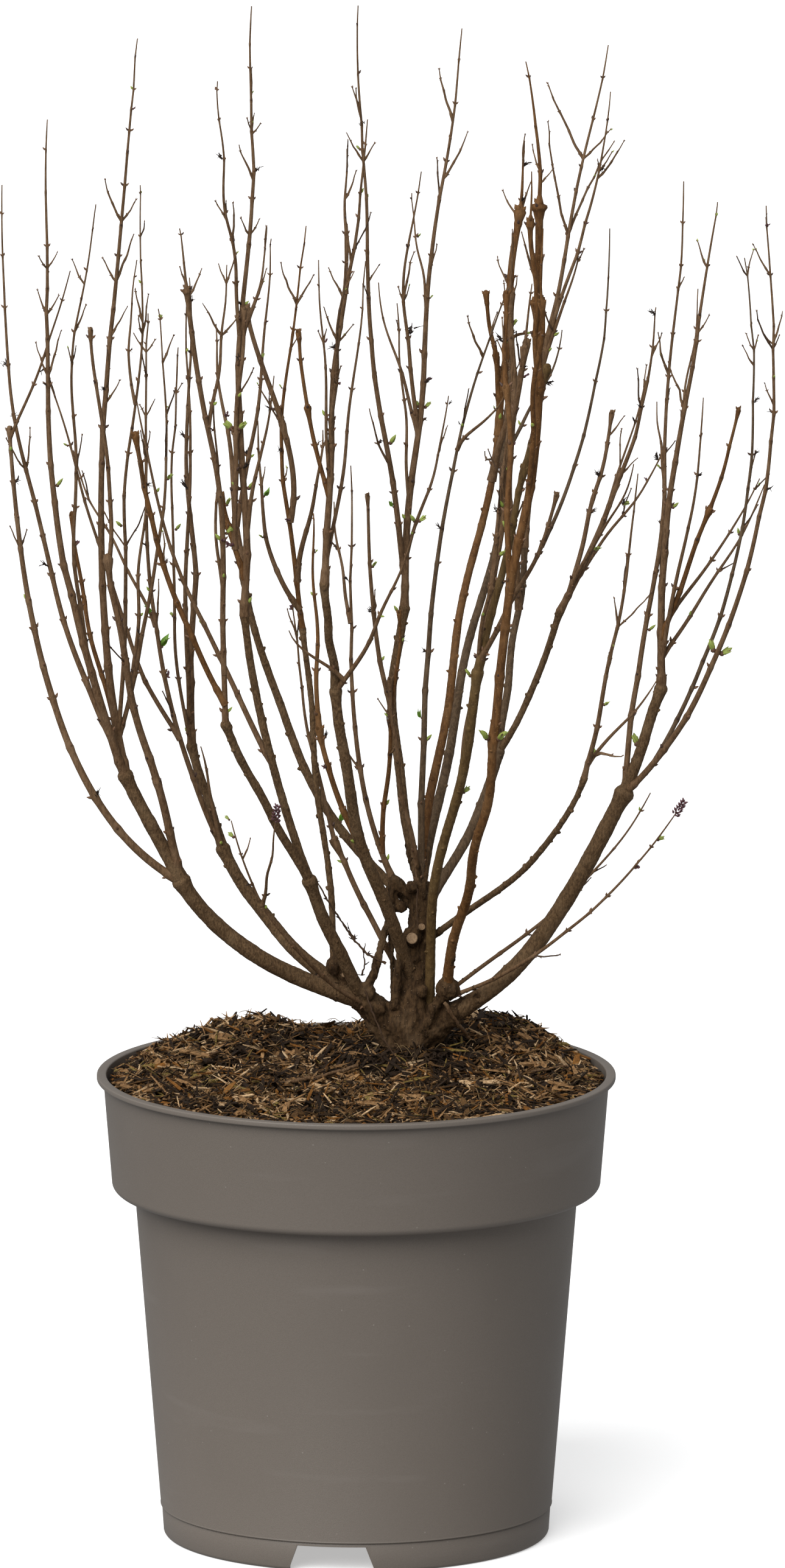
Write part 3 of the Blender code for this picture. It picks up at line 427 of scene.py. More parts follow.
def cutWith(mesh, cutters):
    # take every cutter's shape out of a mesh
    body = bpy.data.objects.new("cutBody", mesh)
    bpy.context.scene.collection.objects.link(body)
    tools = bpy.data.collections.new("potCutters")
    for number, cutter in enumerate(cutters):
        tool = bpy.data.objects.new(f"potCutter{number}", cutter)
        tools.objects.link(tool)
    cut = body.modifiers.new("cut", "BOOLEAN")
    cut.operation = "DIFFERENCE"
    cut.operand_type = "COLLECTION"
    cut.collection = tools
    result = evaluatedMesh(body)
    for tool in list(tools.objects):
        bpy.data.objects.remove(tool)
    bpy.data.collections.remove(tools)
    bpy.data.objects.remove(body)
    return result


def notchCutter(number):
    n = notchPlan
    bm = bmesh.new()
    bmesh.ops.create_cube(bm, size=1.0)
    high = [v for v in bm.verts if v.co.z > 0]
    bmesh.ops.scale(bm, vec=(n["topWidth"] / n["lowWidth"], 1, 1), verts=high)
    size = Vector((n["lowWidth"], n["depth"], n["height"] + 1)) * mm
    bmesh.ops.scale(bm, vec=size, verts=bm.verts)
    middle = Vector((0, -potSizes["skirt"], (n["height"] - 1) / 2)) * mm
    bmesh.ops.translate(bm, vec=middle, verts=bm.verts)
    sides = [e for e in bm.edges if abs(e.verts[0].co.z - e.verts[1].co.z) > 5 * mm]
    bmesh.ops.bevel(bm, geom=sides, offset=n["round"] * mm, offset_type="OFFSET", segments=2,
                    profile=0.5, affect="EDGES", material=-1)
    turn = math.radians(n["turn"]) + number * math.tau / n["count"]
    bmesh.ops.rotate(bm, cent=(0, 0, 0), matrix=Matrix.Rotation(turn, 3, "Z"), verts=bm.verts)
    return meshFrom(bm, "notchCutter")


def drainCutter(number):
    d = drainPlan
    bm = bmesh.new()
    bmesh.ops.create_cone(bm, cap_ends=True, segments=24, radius1=d["radius"] * mm,
                          radius2=d["radius"] * mm, depth=6 * mm)
    turn = (number + 0.5) * math.tau / d["count"]
    middle = (potSizes["floorTop"] + potSizes["floorUnder"]) / 2
    spot = (d["ring"] * math.cos(turn) * mm, d["ring"] * math.sin(turn) * mm, middle * mm)
    bmesh.ops.translate(bm, vec=spot, verts=bm.verts)
    return meshFrom(bm, "drainCutter")


def plasticMaterial():
    f = plasticFinish
    material = bpy.data.materials.new("pottingPlastic")
    material.use_nodes = True
    tree = material.node_tree
    shader = tree.nodes["Principled BSDF"]
    shader.inputs["Specular IOR Level"].default_value = f["gloss"]
    place = tree.nodes.new("ShaderNodeTexCoord").outputs["Object"]
    flow = tree.nodes.new("ShaderNodeMapping")
    flow.inputs["Scale"].default_value = (1.0, 1.0, f["flowStretch"])
    flow.inputs["Rotation"].default_value = (0.0, math.radians(f["flowTilt"]), 0.0)
    feed(tree, place, flow.inputs["Vector"])
    fine = noiseOf(tree, place, f["grain"], 2.0)
    cloud = noiseOf(tree, place, f["cloudScale"], 4.0)
    scuff = noiseOf(tree, flow.outputs["Vector"], f["scuffScale"], 6.0)
    specks = dotsOf(tree, place, f["dustScale"])
    colour = (*f["base"], 1.0)
    # each tint with what spreads it, from where to where, and how far it covers
    tints = ((fine, "speck", 0.40, 0.62, 0.8), (cloud, "speck", 0.45, 0.7, 0.45),
             (scuff, "scuff", 0.60, 0.72, 0.35), (specks, "dust", 0.045, 0.03, 0.5))
    for source, tint, low, high, most in tints:
        share = rangeOf(tree, source, low, high, most=most)
        colour = mixOf(tree, colour, (*f[tint], 1.0), share)
    feed(tree, colour, shader.inputs["Base Color"])
    feed(tree, rangeOf(tree, cloud, 0.0, 1.0, f["smooth"], f["rough"]), shader.inputs["Roughness"])
    addBump(tree, shader, fine, 0.35, 0.25 * mm)
    return material


def makePot():
    cutters = [notchCutter(i) for i in range(notchPlan["count"])]
    cutters += [drainCutter(i) for i in range(drainPlan["count"])]
    shell = cutWith(turnedMesh("potShell", potOutline(), potSizes["turnSteps"]), cutters)
    shell.name = "potShell"
    shadeSmooth(shell, 32.0)
    newPiece("potShell", shell, plasticMaterial(), ["pot"])


makePot()
print("pot turned and cut")


# the stems' rule
Stem = namedtuple("Stem", "name parent share across back up leaves ends foot tip bow",
                  defaults=(0.0,))

# Each stem runs from its parent, at a share of the parent's length, to a tip given across, back
# and up from the origin. It leaves and ends at these slopes, and foot and tip are its widths.
# A last number, where there is one, bows its middle that far to the right, or left below zero.
boughs = [
    Stem("bough_left_low", "trunk_left", 1.0, -94, 0, 358, 16, 60, 8.5, 7.2),
    Stem("bough_left_low_upper", "bough_left_low", 1.0, -124, -5, 417, 64, 66, 7.0, 6.0),
    Stem("bough_left_middle", "trunk_left", 0.95, -72, 52, 366, 24, 62, 7.2, 5.6),
    Stem("bough_left_middle_upper", "bough_left_middle", 1.0, -89, 66, 420, 70, 72, 4.6, 4.3),
    Stem("bough_left_steep", "trunk_left", 0.8, -25, -14, 361, 52, 66, 6.6, 5.9),
    Stem("bough_left_steep_outer", "bough_left_steep", 1.0, -70, -52, 454, 56, 64, 4.3, 4.0),
    Stem("bough_left_steep_inner", "bough_left_steep", 1.0, -60, -18, 507, 70, 84, 4.3, 3.6),
    Stem("bough_back_left", "trunk", 0.86, -61, 98, 507, 24, 78, 4.9, 3.3),
    Stem("bough_left_slender", "trunk_left_knob", 1.0, -29, 52, 487, 84, 78, 3.2, 2.8),
    Stem("bough_front", "trunk", 0.46, -11, -46, 471, 56, 84, 6.6, 4.9),
    Stem("bough_front_upper", "bough_front", 1.0, -17, -70, 534, 80, 84, 4.4, 3.8),
    Stem("bough_centre", "trunk", 1.0, 26, 70, 495, 78, 86, 4.9, 4.3, -9),
    Stem("bough_back_right", "trunk", 1.0, 77, 104, 584, 72, 76, 4.6, 3.3, -4),
    Stem("bough_back", "trunk", 0.80, 80, 150, 536, 54, 76, 5.3, 3.3, -8),
    Stem("bough_front_right", "trunk_right", 0.45, 65, -45, 481, 88, 82, 4.8, 4.8, -4),
    Stem("bough_front_right_outer", "trunk_right_knob", 1.0, 73, -82, 451, 68, 82, 4.9, 4.3),
    Stem("bough_right_steep", "trunk", 0.78, 77, 60, 418, 56, 76, 4.9, 4.6),
    Stem("bough_right_steep_inner", "bough_right_steep", 1.0, 91, 90, 525, 80, 86, 3.9, 3.0),
    Stem("bough_right_steep_outer", "bough_right_steep", 1.0, 110, 46, 498, 54, 72, 3.2, 3.3),
    Stem("bough_right_slender", "trunk", 0.66, 122, -64, 427, 34, 66, 3.4, 2.8),
    Stem("bough_right_low", "trunk_right", 1.0, 144, 6, 405, 26, 62, 8.5, 7.6),
    Stem("bough_right_low_upper", "bough_right_low", 1.0, 164, 10, 462, 66, 70, 5.6, 5.0),
]

# The first leader of each mass is its one stem, and the rest fork from the leader they name.
leaders = [
    Stem("twigs_left_rim", "bough_left_low", 1.0, -186, -9, 608, 28, 89, 4.3, 1.8, 4),
    Stem("twigs_left_rim_2", "twigs_left_rim", 0.98, -153, -24, 696, 64, 74, 1.6, 0.9),

    Stem("twigs_left_outer", "bough_left_low_upper", 1.0, -165, -30, 779, 62, 96, 4.3, 1.0, 5),
    Stem("twigs_left_outer_2", "twigs_left_outer", 0.07, -190, 16, 736, 62, 92, 3.0, 0.9),
    Stem("twigs_left_outer_3", "twigs_left_outer", 0.19, -139, -42, 735, 98, 75, 2.2, 0.9, -8),

    Stem("twigs_left_inner", "bough_left_low_upper", 1.0, -117, -6, 819, 104, 84, 4.2, 1.0, 3),
    Stem("twigs_left_inner_2", "twigs_left_inner", 0.05, -153, 22, 556, 70, 84, 2.6, 1.6),
    Stem("twigs_left_inner_3", "twigs_left_inner", 0.05, -115, -76, 751, 76, 90, 2.4, 0.9),
    Stem("twigs_left_inner_4", "twigs_left_inner", 0.05, -106, -16, 674, 72, 98, 2.4, 0.9),

    Stem("twigs_left_back", "bough_left_middle", 1.0, -112, 40, 662, 62, 92, 2.8, 1.1),
    Stem("twigs_left_back_2", "twigs_left_back", 0.22, -168, 66, 627, 55, 68, 2.4, 1.0),
    Stem("twigs_left_back_3", "twigs_left_back", 0.43, -153, 92, 578, 60, 68, 1.8, 0.9),

    Stem("twigs_left_knuckle", "bough_left_middle_upper", 1.0, -90, 90, 673, 84, 88, 3.6, 1.0),
    Stem("twigs_left_knuckle_2", "twigs_left_knuckle", 0.05, -91, 40, 672, 66, 95, 2.8, 1.0),

    Stem("twigs_left_steep", "bough_left_steep_outer", 1.0, -94, -90, 730, 84, 84, 3.6, 1.0, 6),
    Stem("twigs_left_steep_2", "twigs_left_steep", 0.04, -118, -68, 615, 60, 82, 3.0, 2.2),
    Stem("twigs_left_steep_3", "twigs_left_steep", 0.6, -69, -64, 706, 70, 86, 2.0, 0.9),

    Stem("twigs_top_left", "bough_left_steep_inner", 1.0, -56, 2, 836, 88, 90, 3.6, 1.0, -2),
    Stem("twigs_top_left_2", "twigs_top_left", 0.06, -73, -14, 573, 70, 74, 2.8, 2.2),
    Stem("twigs_top_left_3", "twigs_top_left", 0.46, -74, -32, 800, 84, 86, 2.0, 0.9),
    Stem("twigs_top_left_4", "twigs_top_left", 0.40, -48, 28, 711, 74, 88, 2.0, 0.9),

    Stem("twigs_back_left", "bough_back_left", 1.0, -76, 136, 640, 74, 84, 3.0, 1.0),
    Stem("twigs_back_left_2", "twigs_back_left", 0.2, -46, 116, 690, 78, 88, 2.2, 0.9),

    Stem("twigs_left_slender", "bough_left_slender", 1.0, -27, 62, 706, 96, 84, 2.6, 1.0, -9),
    Stem("twigs_left_slender_2", "twigs_left_slender", 0.05, -53, 48, 602, 50, 88, 2.2, 1.0),

    Stem("twigs_front_low", "bough_front", 1.0, 33, -96, 575, 44, 66, 2.6, 1.0),
    Stem("twigs_front_low_2", "twigs_front_low", 0.08, -36, -66, 508, 50, 70, 2.0, 1.0),

    Stem("twigs_front", "bough_front_upper", 1.0, 6, -110, 792, 88, 78, 3.6, 1.0),
    Stem("twigs_front_2", "twigs_front", 0.18, -31, -74, 672, 72, 86, 2.4, 1.6),
    Stem("twigs_front_3", "twigs_front", 0.04, 5, -52, 706, 74, 84, 2.2, 0.9),
    Stem("twigs_front_4", "twigs_front", 0.3, -6, -140, 734, 76, 88, 2.2, 0.9),
    Stem("twigs_front_5", "twigs_front", 0.62, -5, -84, 772, 78, 88, 2.2, 0.9),

    Stem("twigs_centre", "trunk_column_knob", 1.0, -3, 22, 582, 66, 88, 3.0, 1.0),
    Stem("twigs_centre_2", "twigs_centre", 0.62, -12, 46, 558, 66, 84, 2.0, 1.0),
    Stem("twigs_centre_3", "twigs_centre", 0.06, 23, -6, 507, 84, 86, 2.6, 1.4),

    Stem("twigs_top_centre", "bough_centre", 1.0, 57, 98, 808, 88, 82, 3.8, 1.0),
    Stem("twigs_top_centre_2", "twigs_top_centre", 0.06, 1, 50, 828, 78, 90, 3.0, 1.0),
    Stem("twigs_top_centre_3", "twigs_top_centre", 0.3, 35, 66, 735, 84, 86, 2.4, 0.9, -8),
    Stem("twigs_top_centre_4", "twigs_top_centre", 0.06, 50, 120, 603, 68, 82, 2.2, 0.9),
    Stem("twigs_top_centre_5", "twigs_top_centre", 0.3, 12, 104, 668, 72, 84, 2.0, 0.9),

    Stem("twigs_right_column", "trunk", 1.0, 82, 28, 678, 84, 72, 3.0, 1.0, -8),
    Stem("twigs_right_column_2", "twigs_right_column", 0.72, 80, 2, 626, 58, 72, 1.9, 0.9),

    Stem("twigs_back_right", "bough_back_right", 1.0, 91, 124, 737, 84, 82, 3.0, 1.0),
    Stem("twigs_back_right_2", "twigs_back_right", 0.3, 98, 150, 640, 80, 88, 2.0, 0.9),

    Stem("twigs_back", "bough_back", 1.0, 84, 176, 676, 80, 88, 3.0, 1.0),
    Stem("twigs_back_2", "twigs_back", 0.15, 112, 186, 628, 70, 86, 2.2, 0.9),
    Stem("twigs_back_3", "twigs_back", 0.15, 70, 192, 560, 70, 86, 2.2, 0.9),

    Stem("twigs_front_right", "bough_front_right", 1.0, 102, -60, 650, 76, 78, 3.2, 2.0),
    Stem("twigs_front_right_2", "twigs_front_right", 0.03, 107, -98, 588, 56, 72, 2.8, 1.6),
    Stem("twigs_front_right_3", "twigs_front_right_2", 0.72, 135, -78, 728, 62, 90, 2.0, 0.9),

    Stem("twigs_front_right_top", "bough_front_right_outer", 1.0, 90, -96, 821, 84, 100,
         3.6, 1.0, 4),
    Stem("twigs_front_right_top_2", "twigs_front_right_top", 0.5, 93, -116, 765, 80, 88, 2.2, 0.9),
    Stem("twigs_front_right_top_3", "twigs_front_right_top", 0.36, 99, -138, 738, 72, 90, 2.2, 0.9),

    Stem("twigs_top_right", "bough_right_steep_inner", 1.0, 136, 110, 797, 80, 84, 3.0, 1.0, -8),
    Stem("twigs_top_right_2", "twigs_top_right", 0.36, 137, 82, 776, 74, 86, 2.2, 0.9),

    Stem("twigs_right_fan", "bough_right_steep_outer", 1.0, 161, 30, 667, 62, 88, 3.0, 1.0),
    Stem("twigs_right_fan_2", "twigs_right_fan", 0.06, 138, 70, 603, 70, 80, 2.6, 1.6),
    Stem("twigs_right_fan_3", "twigs_right_fan", 0.06, 149, 4, 586, 66, 74, 2.0, 1.0),
    Stem("twigs_right_fan_4", "twigs_right_fan", 0.06, 167, 86, 582, 58, 66, 2.0, 1.0),

    Stem("twigs_right_slender", "bough_right_slender", 1.0, 150, -104, 600, 68, 82, 2.6, 1.0),
    Stem("twigs_right_slender_2", "twigs_right_slender", 0.05, 161, -50, 478, 52, 58, 2.0, 1.0),

    Stem("twigs_right_middle", "bough_right_low", 1.0, 176, 46, 733, 78, 88, 3.0, 1.0),

    Stem("twigs_right_rim", "bough_right_low", 1.0, 219, -34, 733, 42, 97, 3.2, 1.0),
    Stem("twigs_right_rim_2", "twigs_right_rim", 0.05, 208, 0, 699, 56, 99, 2.4, 1.0),

    Stem("twigs_right_knuckle", "bough_right_low_upper", 1.0, 194, 26, 725, 92, 80, 3.6, 1.0),
    Stem("twigs_right_knuckle_2", "twigs_right_knuckle", 0.05, 186, -12, 625, 78, 88, 2.4, 1.0),
    Stem("twigs_right_knuckle_3", "twigs_right_knuckle", 0.1, 205, -18, 620, 70, 78, 2.8, 1.4),
    Stem("twigs_right_knuckle_4", "twigs_right_knuckle", 0.06, 220, 48, 567, 50, 64, 2.2, 1.0),

    Stem("twigs_low_right_back", "trunk_right_knob", 0.75, 159, 52, 397, 32, 62, 2.2, 1.0),
    Stem("twigs_low_right_front", "trunk_right_knob", 0.6, 172, -44, 405, 22, 56, 2.2, 1.0),

    Stem("twigs_low_left", "trunk_left", 0.7, -67, -54, 402, 24, 74, 2.4, 1.0),
    Stem("twigs_low_left_2", "twigs_low_left", 0.66, -43, -72, 407, 54, 72, 1.8, 1.0),
]

# Finer stems between the leaders, by the same rule.
fineStems = [
    Stem("rim_spray", "bough_left_low_upper", 0.03, -133, -40, 543, 74, 82, 4.2, 2.8),
    Stem("rim_spray_2", "rim_spray", 0.98, -142, -44, 668, 100, 88, 2.2, 1.5),
    Stem("rim_spray_3", "twigs_left_inner_3", 0.62, -117, -60, 708, 104, 80, 1.6, 0.8),
    Stem("left_spray", "bough_left_steep_inner", 0.46, -118, 20, 618, 58, 82, 3.0, 1.1),
    Stem("left_spray_2", "bough_left_middle", 0.98, -84, 44, 424, 66, 72, 2.4, 1.2),
    Stem("heart_spray", "bough_front", 0.49, -20, -22, 447, 62, 82, 3.2, 2.4),
    Stem("heart_spray_2", "heart_spray", 1.0, -23, -12, 562, 84, 90, 2.2, 1.2),
    Stem("heart_spray_3", "trunk", 0.4, -12, 34, 374, 56, 66, 3.0, 2.6),
    Stem("heart_spray_4", "heart_spray_3", 0.98, -34, 56, 500, 66, 84, 2.2, 1.0),
    Stem("front_spray", "twigs_front", 0.2, -20, -96, 714, 80, 84, 1.9, 0.9),
    Stem("centre_spray", "twigs_top_centre_2", 0.12, 7, 40, 610, 96, 78, 1.8, 0.9),
    Stem("centre_spray_2", "twigs_top_centre", 0.14, 22, 84, 660, 96, 84, 2.0, 1.0),
    Stem("centre_spray_3", "twigs_top_centre", 0.5, 30, 110, 716, 92, 86, 1.6, 0.8),
    Stem("column_spray", "twigs_back_right", 0.08, 70, 96, 664, 92, 86, 2.2, 1.4),
    Stem("column_spray_2", "twigs_front_right", 0.1, 84, -44, 648, 84, 86, 2.2, 1.2),
    Stem("column_spray_3", "twigs_front_right_top", 0.22, 80, -60, 690, 90, 84, 2.4, 1.6),
    Stem("fan_spray", "twigs_right_fan", 0.1, 156, 58, 622, 64, 76, 1.8, 0.9),
    Stem("slender_spray", "twigs_right_slender_2", 0.1, 143, -76, 442, 44, 40, 1.6, 0.9),
    Stem("slender_spray_2", "twigs_left_slender", 0.27, -59, 50, 664, 104, 82, 3.0, 2.2),
    Stem("bud_spray", "twigs_top_left_2", 0.36, -60, -10, 673, 96, 88, 2.7, 1.6),
    Stem("bud_spray_2", "twigs_top_left", 0.1, -44, -30, 640, 88, 84, 2.0, 0.9),
    Stem("heart_spray_5", "twigs_left_slender", 0.12, -18, 30, 600, 84, 90, 2.4, 1.2),
    Stem("column_spray_4", "bough_back_right", 0.9, 92, 80, 640, 78, 84, 3.2, 2.0),
    Stem("column_spray_5", "twigs_front_right", 0.16, 94, -30, 690, 84, 82, 2.4, 1.2),
    Stem("column_spray_6", "bough_right_steep_inner", 0.7, 84, 74, 700, 76, 90, 2.8, 1.2),
    Stem("column_spray_7", "bough_front_right", 0.72, 75, -66, 560, 84, 82, 2.6, 1.6),
    Stem("crown_spray", "twigs_top_right", 0.3, 120, 92, 690, 84, 84, 2.0, 0.9),
    Stem("inner_spray", "bough_left_middle_upper", 0.96, -96, 60, 640, 74, 92, 2.6, 1.2),
    Stem("inner_spray_2", "twigs_left_inner_4", 0.1, -112, 8, 590, 80, 84, 2.2, 1.2),
    Stem("inner_spray_3", "twigs_left_steep", 0.1, -76, -72, 640, 84, 88, 2.2, 1.0),
    Stem("centre_spray_4", "bough_centre", 0.62, 6, 56, 560, 74, 88, 2.6, 1.4),
    Stem("centre_spray_5", "trunk", 0.94, 18, -2, 470, 80, 88, 2.6, 1.6),
    Stem("right_spray", "bough_right_low_upper", 0.98, 165, 30, 549, 96, 84, 2.4, 1.4),
    Stem("right_spray_2", "twigs_right_middle", 0.5, 162, 56, 611, 84, 92, 1.8, 0.8),
    Stem("right_spray_3", "twigs_right_knuckle", 0.36, 184, 60, 672, 74, 84, 1.8, 0.8),
    Stem("right_spray_4", "twigs_right_knuckle_3", 0.1, 217, 22, 575, 52, 66, 2.0, 0.9),
]

# Side twigs worth placing one by one: leader, height of the node, then how far the twig's tip lies
# across and up from it.
markedTwigs = [
    ("twigs_left_outer", 674, -5.5, 12), ("twigs_left_outer", 674, 6.5, 9),
    ("twigs_left_outer", 699, -4, 7), ("twigs_left_outer", 699, 5, 8),
    ("twigs_left_outer", 640, 8, 24), ("twigs_left_outer", 640, -5, 18),
    ("twigs_left_outer_3", 663, 6, 14), ("twigs_left_outer_3", 690, -6, 13),
    ("twigs_left_inner", 719, -8, 23), ("twigs_left_inner", 719, 7.5, 11),
    ("twigs_left_inner", 686, -7, 12), ("twigs_left_inner", 686, 10, 24),
    ("twigs_left_inner", 656, 9, 16), ("twigs_left_inner", 620, 8, 12),
    ("twigs_left_inner_3", 676, -4, 17), ("twigs_left_inner_4", 645, 5, 14),
    ("twigs_left_back", 641, -6, 9), ("twigs_left_back", 641, 4.5, 6),
    ("twigs_left_knuckle", 664, -5, 14), ("twigs_left_knuckle", 664, 6, 12),
    ("twigs_left_steep_3", 668, -9, 17), ("twigs_left_steep_3", 668, 8, 10),
    ("twigs_top_left", 741, -6.5, 19), ("twigs_top_left", 712, 5, 8),
    ("twigs_top_left", 712, -5, 9), ("twigs_top_left", 766, 4.5, 5.5),
    ("twigs_top_left_3", 722, -6, 10), ("twigs_top_left_4", 660, 12, 30),
    ("twigs_left_slender", 664, -8, 22), ("twigs_left_slender", 664, 9, 14),
    ("twigs_front", 668, -8, 18), ("twigs_front", 668, 7.5, 9),
    ("twigs_front", 712, -3.5, 25), ("twigs_front_5", 745, 6, 14),
    ("twigs_front_4", 700, -7, 15), ("twigs_front_4", 700, 6, 11),
    ("twigs_top_centre", 727, 13.5, 24), ("twigs_top_centre", 758, -6, 28),
    ("twigs_top_centre", 677, 5, 14), ("twigs_top_centre_2", 743, -9.5, 14),
    ("twigs_top_centre_2", 743, 6, 10), ("twigs_top_centre_2", 771, -3.5, 12),
    ("twigs_top_centre_2", 676, 5.5, 9), ("twigs_top_centre_3", 664, 5, 26),
    ("twigs_back_right", 700, 6, 20), ("twigs_back_right", 700, -8, 14),
    ("twigs_front_right_top", 756, 6.5, 8), ("twigs_front_right_top", 700, -8, 30),
    ("twigs_top_right", 694, -12, 62), ("twigs_top_right", 694, 26, 44),
    ("twigs_top_right", 735, -15, 40), ("twigs_top_right", 735, 15, 15),
    ("twigs_top_right_2", 728, 14, 20), ("twigs_right_middle", 628, -7, 22),
    ("twigs_right_knuckle", 655, 6, 9), ("twigs_right_knuckle", 690, -5, 13),
    ("twigs_right_rim", 624, -4.5, 12), ("twigs_right_rim", 658, 4, 17),
    ("twigs_right_rim", 658, -5, 6), ("twigs_right_rim_2", 640, -6, 10),
    ("twigs_right_fan", 640, 5, 12), ("twigs_right_fan_2", 590, 8, 10),
    ("twigs_low_left", 380, 5, 9), ("twigs_right_column", 640, -9, 22),
]

# Old pruning knuckles along a shoot: stem, height, how swollen, how many spurs. A shoot in
# thinShoots is only a thin new growth above its last knuckle.
knuckles = [
    ("twigs_back_right", 615, 0.55, 3), ("twigs_back_right", 661, 0.5, 2),
    ("twigs_back_right", 705, 0.9, 4), ("twigs_front_right_top", 649, 0.7, 3),
    ("twigs_front_right_top", 692, 0.7, 3), ("twigs_front_right_top", 745, 0.9, 3),
    ("column_spray_5", 655, 0.8, 3), ("column_spray_6", 668, 0.7, 3), ("twigs_back", 640, 0.6, 2),
    ("twigs_front_right_top_2", 738, 0.8, 3), ("twigs_front_right_top_3", 698, 0.9, 3),
    ("twigs_front_right", 594, 0.5, 3), ("twigs_left_slender", 650, 0.4, 2),
    ("twigs_front_2", 630, 0.6, 2), ("twigs_left_steep", 697, 0.6, 2),
    ("twigs_right_knuckle_3", 563, 0.6, 3), ("slender_spray_2", 602, 0.6, 3),
    ("bud_spray", 606, 0.3, 2), ("column_spray_4", 600, 0.5, 3), ("column_spray_3", 640, 0.5, 3),
    ("column_spray", 628, 0.5, 2), ("twigs_top_left_2", 556, 0.4, 2),
    ("column_spray_7", 530, 0.5, 3), ("twigs_front_right_2", 560, 0.3, 2),
    ("twigs_right_fan_2", 560, 0.3, 2), ("twigs_left_inner_2", 510, 0.3, 2),
]
thinShoots = {"twigs_back_right": 705, "twigs_front_right_top": 745, "twigs_left_steep": 697,
              "twigs_front_right_top_2": 738, "twigs_front_right_top_3": 698, "column_spray_5": 655,
              "column_spray_6": 668, "twigs_back": 640}
# how much stouter than the rule, or more slender below one, these stems are
stouter = {"twigs_back_right": 1.28, "twigs_front_right_top": 1.22, "twigs_front_right": 1.25,
           "twigs_back": 1.2, "column_spray": 1.25, "column_spray_2": 1.15, "column_spray_3": 1.3,
           "column_spray_4": 1.15, "column_spray_5": 1.2, "column_spray_6": 1.2,
           "twigs_top_right": 1.1, "twigs_front_right_top_2": 1.2, "twigs_front_right_top_3": 1.2,
           "twigs_right_column": 1.15, "heart_spray_2": 1.15, "twigs_back_left": 1.15,
           "twigs_back_left_2": 1.15, "twigs_left_steep": 0.78, "inner_spray": 0.75,
           "twigs_left_slender_2": 1.3, "bud_spray_2": 1.3, "heart_spray_5": 1.2,
           "twigs_top_left": 1.05, "crown_spray": 1.2, "twigs_right_knuckle": 1.1,
           "twigs_right_fan": 1.1}

stemTints = {
    "bough_front_right": "ochre", "bough_front_right_outer": "warm", "bough_back_right": "warm",
    "bough_back": "grey", "bough_right_steep": "grey", "bough_right_steep_inner": "grey",
    "twigs_left_inner_2": "warm", "twigs_left_steep_2": "warm", "twigs_top_left_2": "warm",
    "twigs_left_slender": "warm", "twigs_front_2": "warm", "twigs_centre_3": "warm",
    "twigs_back_right": "warm", "twigs_back_right_2": "warm", "column_spray": "warm",
    "twigs_front_right": "ochre", "twigs_front_right_top": "warm",
    "twigs_front_right_top_2": "warm", "twigs_front_right_top_3": "warm",
    "column_spray_3": "warm", "twigs_right_knuckle_3": "warm",
    "heart_spray": "warm", "heart_spray_2": "warm", "twigs_left_rim": "warmGrey",
    "twigs_left_outer": "brown", "twigs_front_right_3": "grey", "twigs_top_right": "warmGrey",
    "twigs_top_right_2": "warmGrey", "twigs_right_column": "grey", "twigs_right_rim_2": "grey",
    "twigs_back": "grey", "twigs_back_2": "grey", "twigs_back_3": "grey",
}

trunkFoot = Vector((28.0, 20.0, 250.0))
trunkCore = [(0.0, 0.0, 0.0, 27.0), (0.0, 0.0, 7.0, 22.5), (1.0, 1.0, 18.0, 24.0),
             (2.0, 2.0, 32.0, 27.0), (4.0, 3.0, 48.0, 19.0), (5.5, 4.0, 68.0, 12.5),
             (6.5, 5.0, 103.0, 11.4)]  # across, back and up from the foot, width
# each arm's foot height, then its tip across, back and up from the foot, then its two widths
trunkArms = {"trunk_left": (20.0, -27.0, -3.0, 41.0, 21.0, 13.0),
             "trunk_right": (18.0, 25.0, -6.0, 34.0, 21.0, 14.5),
             "trunk_left_knob": (34.0, -40.0, 1.0, 57.0, 8.0, 6.0),
             "trunk_right_knob": (28.0, 21.0, -13.0, 50.0, 9.0, 6.5),
             "trunk_column_knob": (92.0, -9.0, 2.0, 107.0, 6.5, 5.0)}
bendPlan = {"step": 2.0, "waver": 0.010, "waverTurns": (1.3, 2.1)}


def slopeDirection(heading, slope):
    # a unit vector at a slope above the level, along a level heading
    angle = math.radians(slope)
    return Vector((heading.x * math.cos(angle), heading.y * math.cos(angle), math.sin(angle)))


def stemPath(foot, stem, seed):
    # an even bend from the foot to the tip, with a slight waver
    tip = Vector((stem.across, stem.back, stem.up))
    heading = Vector((tip.x - foot.x, tip.y - foot.y, 0.0)).normalized()
    reach = (tip - foot).length / 3
    first = foot + slopeDirection(heading, stem.leaves) * reach
    second = tip - slopeDirection(heading, stem.ends) * reach
    count = max(4, round(reach * 3 / bendPlan["step"]))
    rng = random.Random(seed)
    side = heading.cross(up)
    turns = rng.uniform(*bendPlan["waverTurns"])
    phase = rng.uniform(0.0, math.tau)
    points = []
    for index in range(count + 1):
        t = index / count
        point = foot * (1 - t) ** 3 + first * 3 * t * (1 - t) ** 2
        point += second * 3 * t ** 2 * (1 - t) + tip * t ** 3
        fade = math.sin(math.pi * t)
        point.x += stem.bow * fade
        swing = math.sin(phase + turns * math.tau * t)
        point += side * (reach * 3 * bendPlan["waver"] * fade * swing)
        points.append(point)
    return points


def pointAt(points, share):
    lengths = [(b - a).length for a, b in zip(points, points[1:])]
    left = share * sum(lengths)
    for a, b, length in zip(points, points[1:], lengths):
        if left <= length:
            return a.lerp(b, left / length)
        left -= length
    return points[-1].copy()


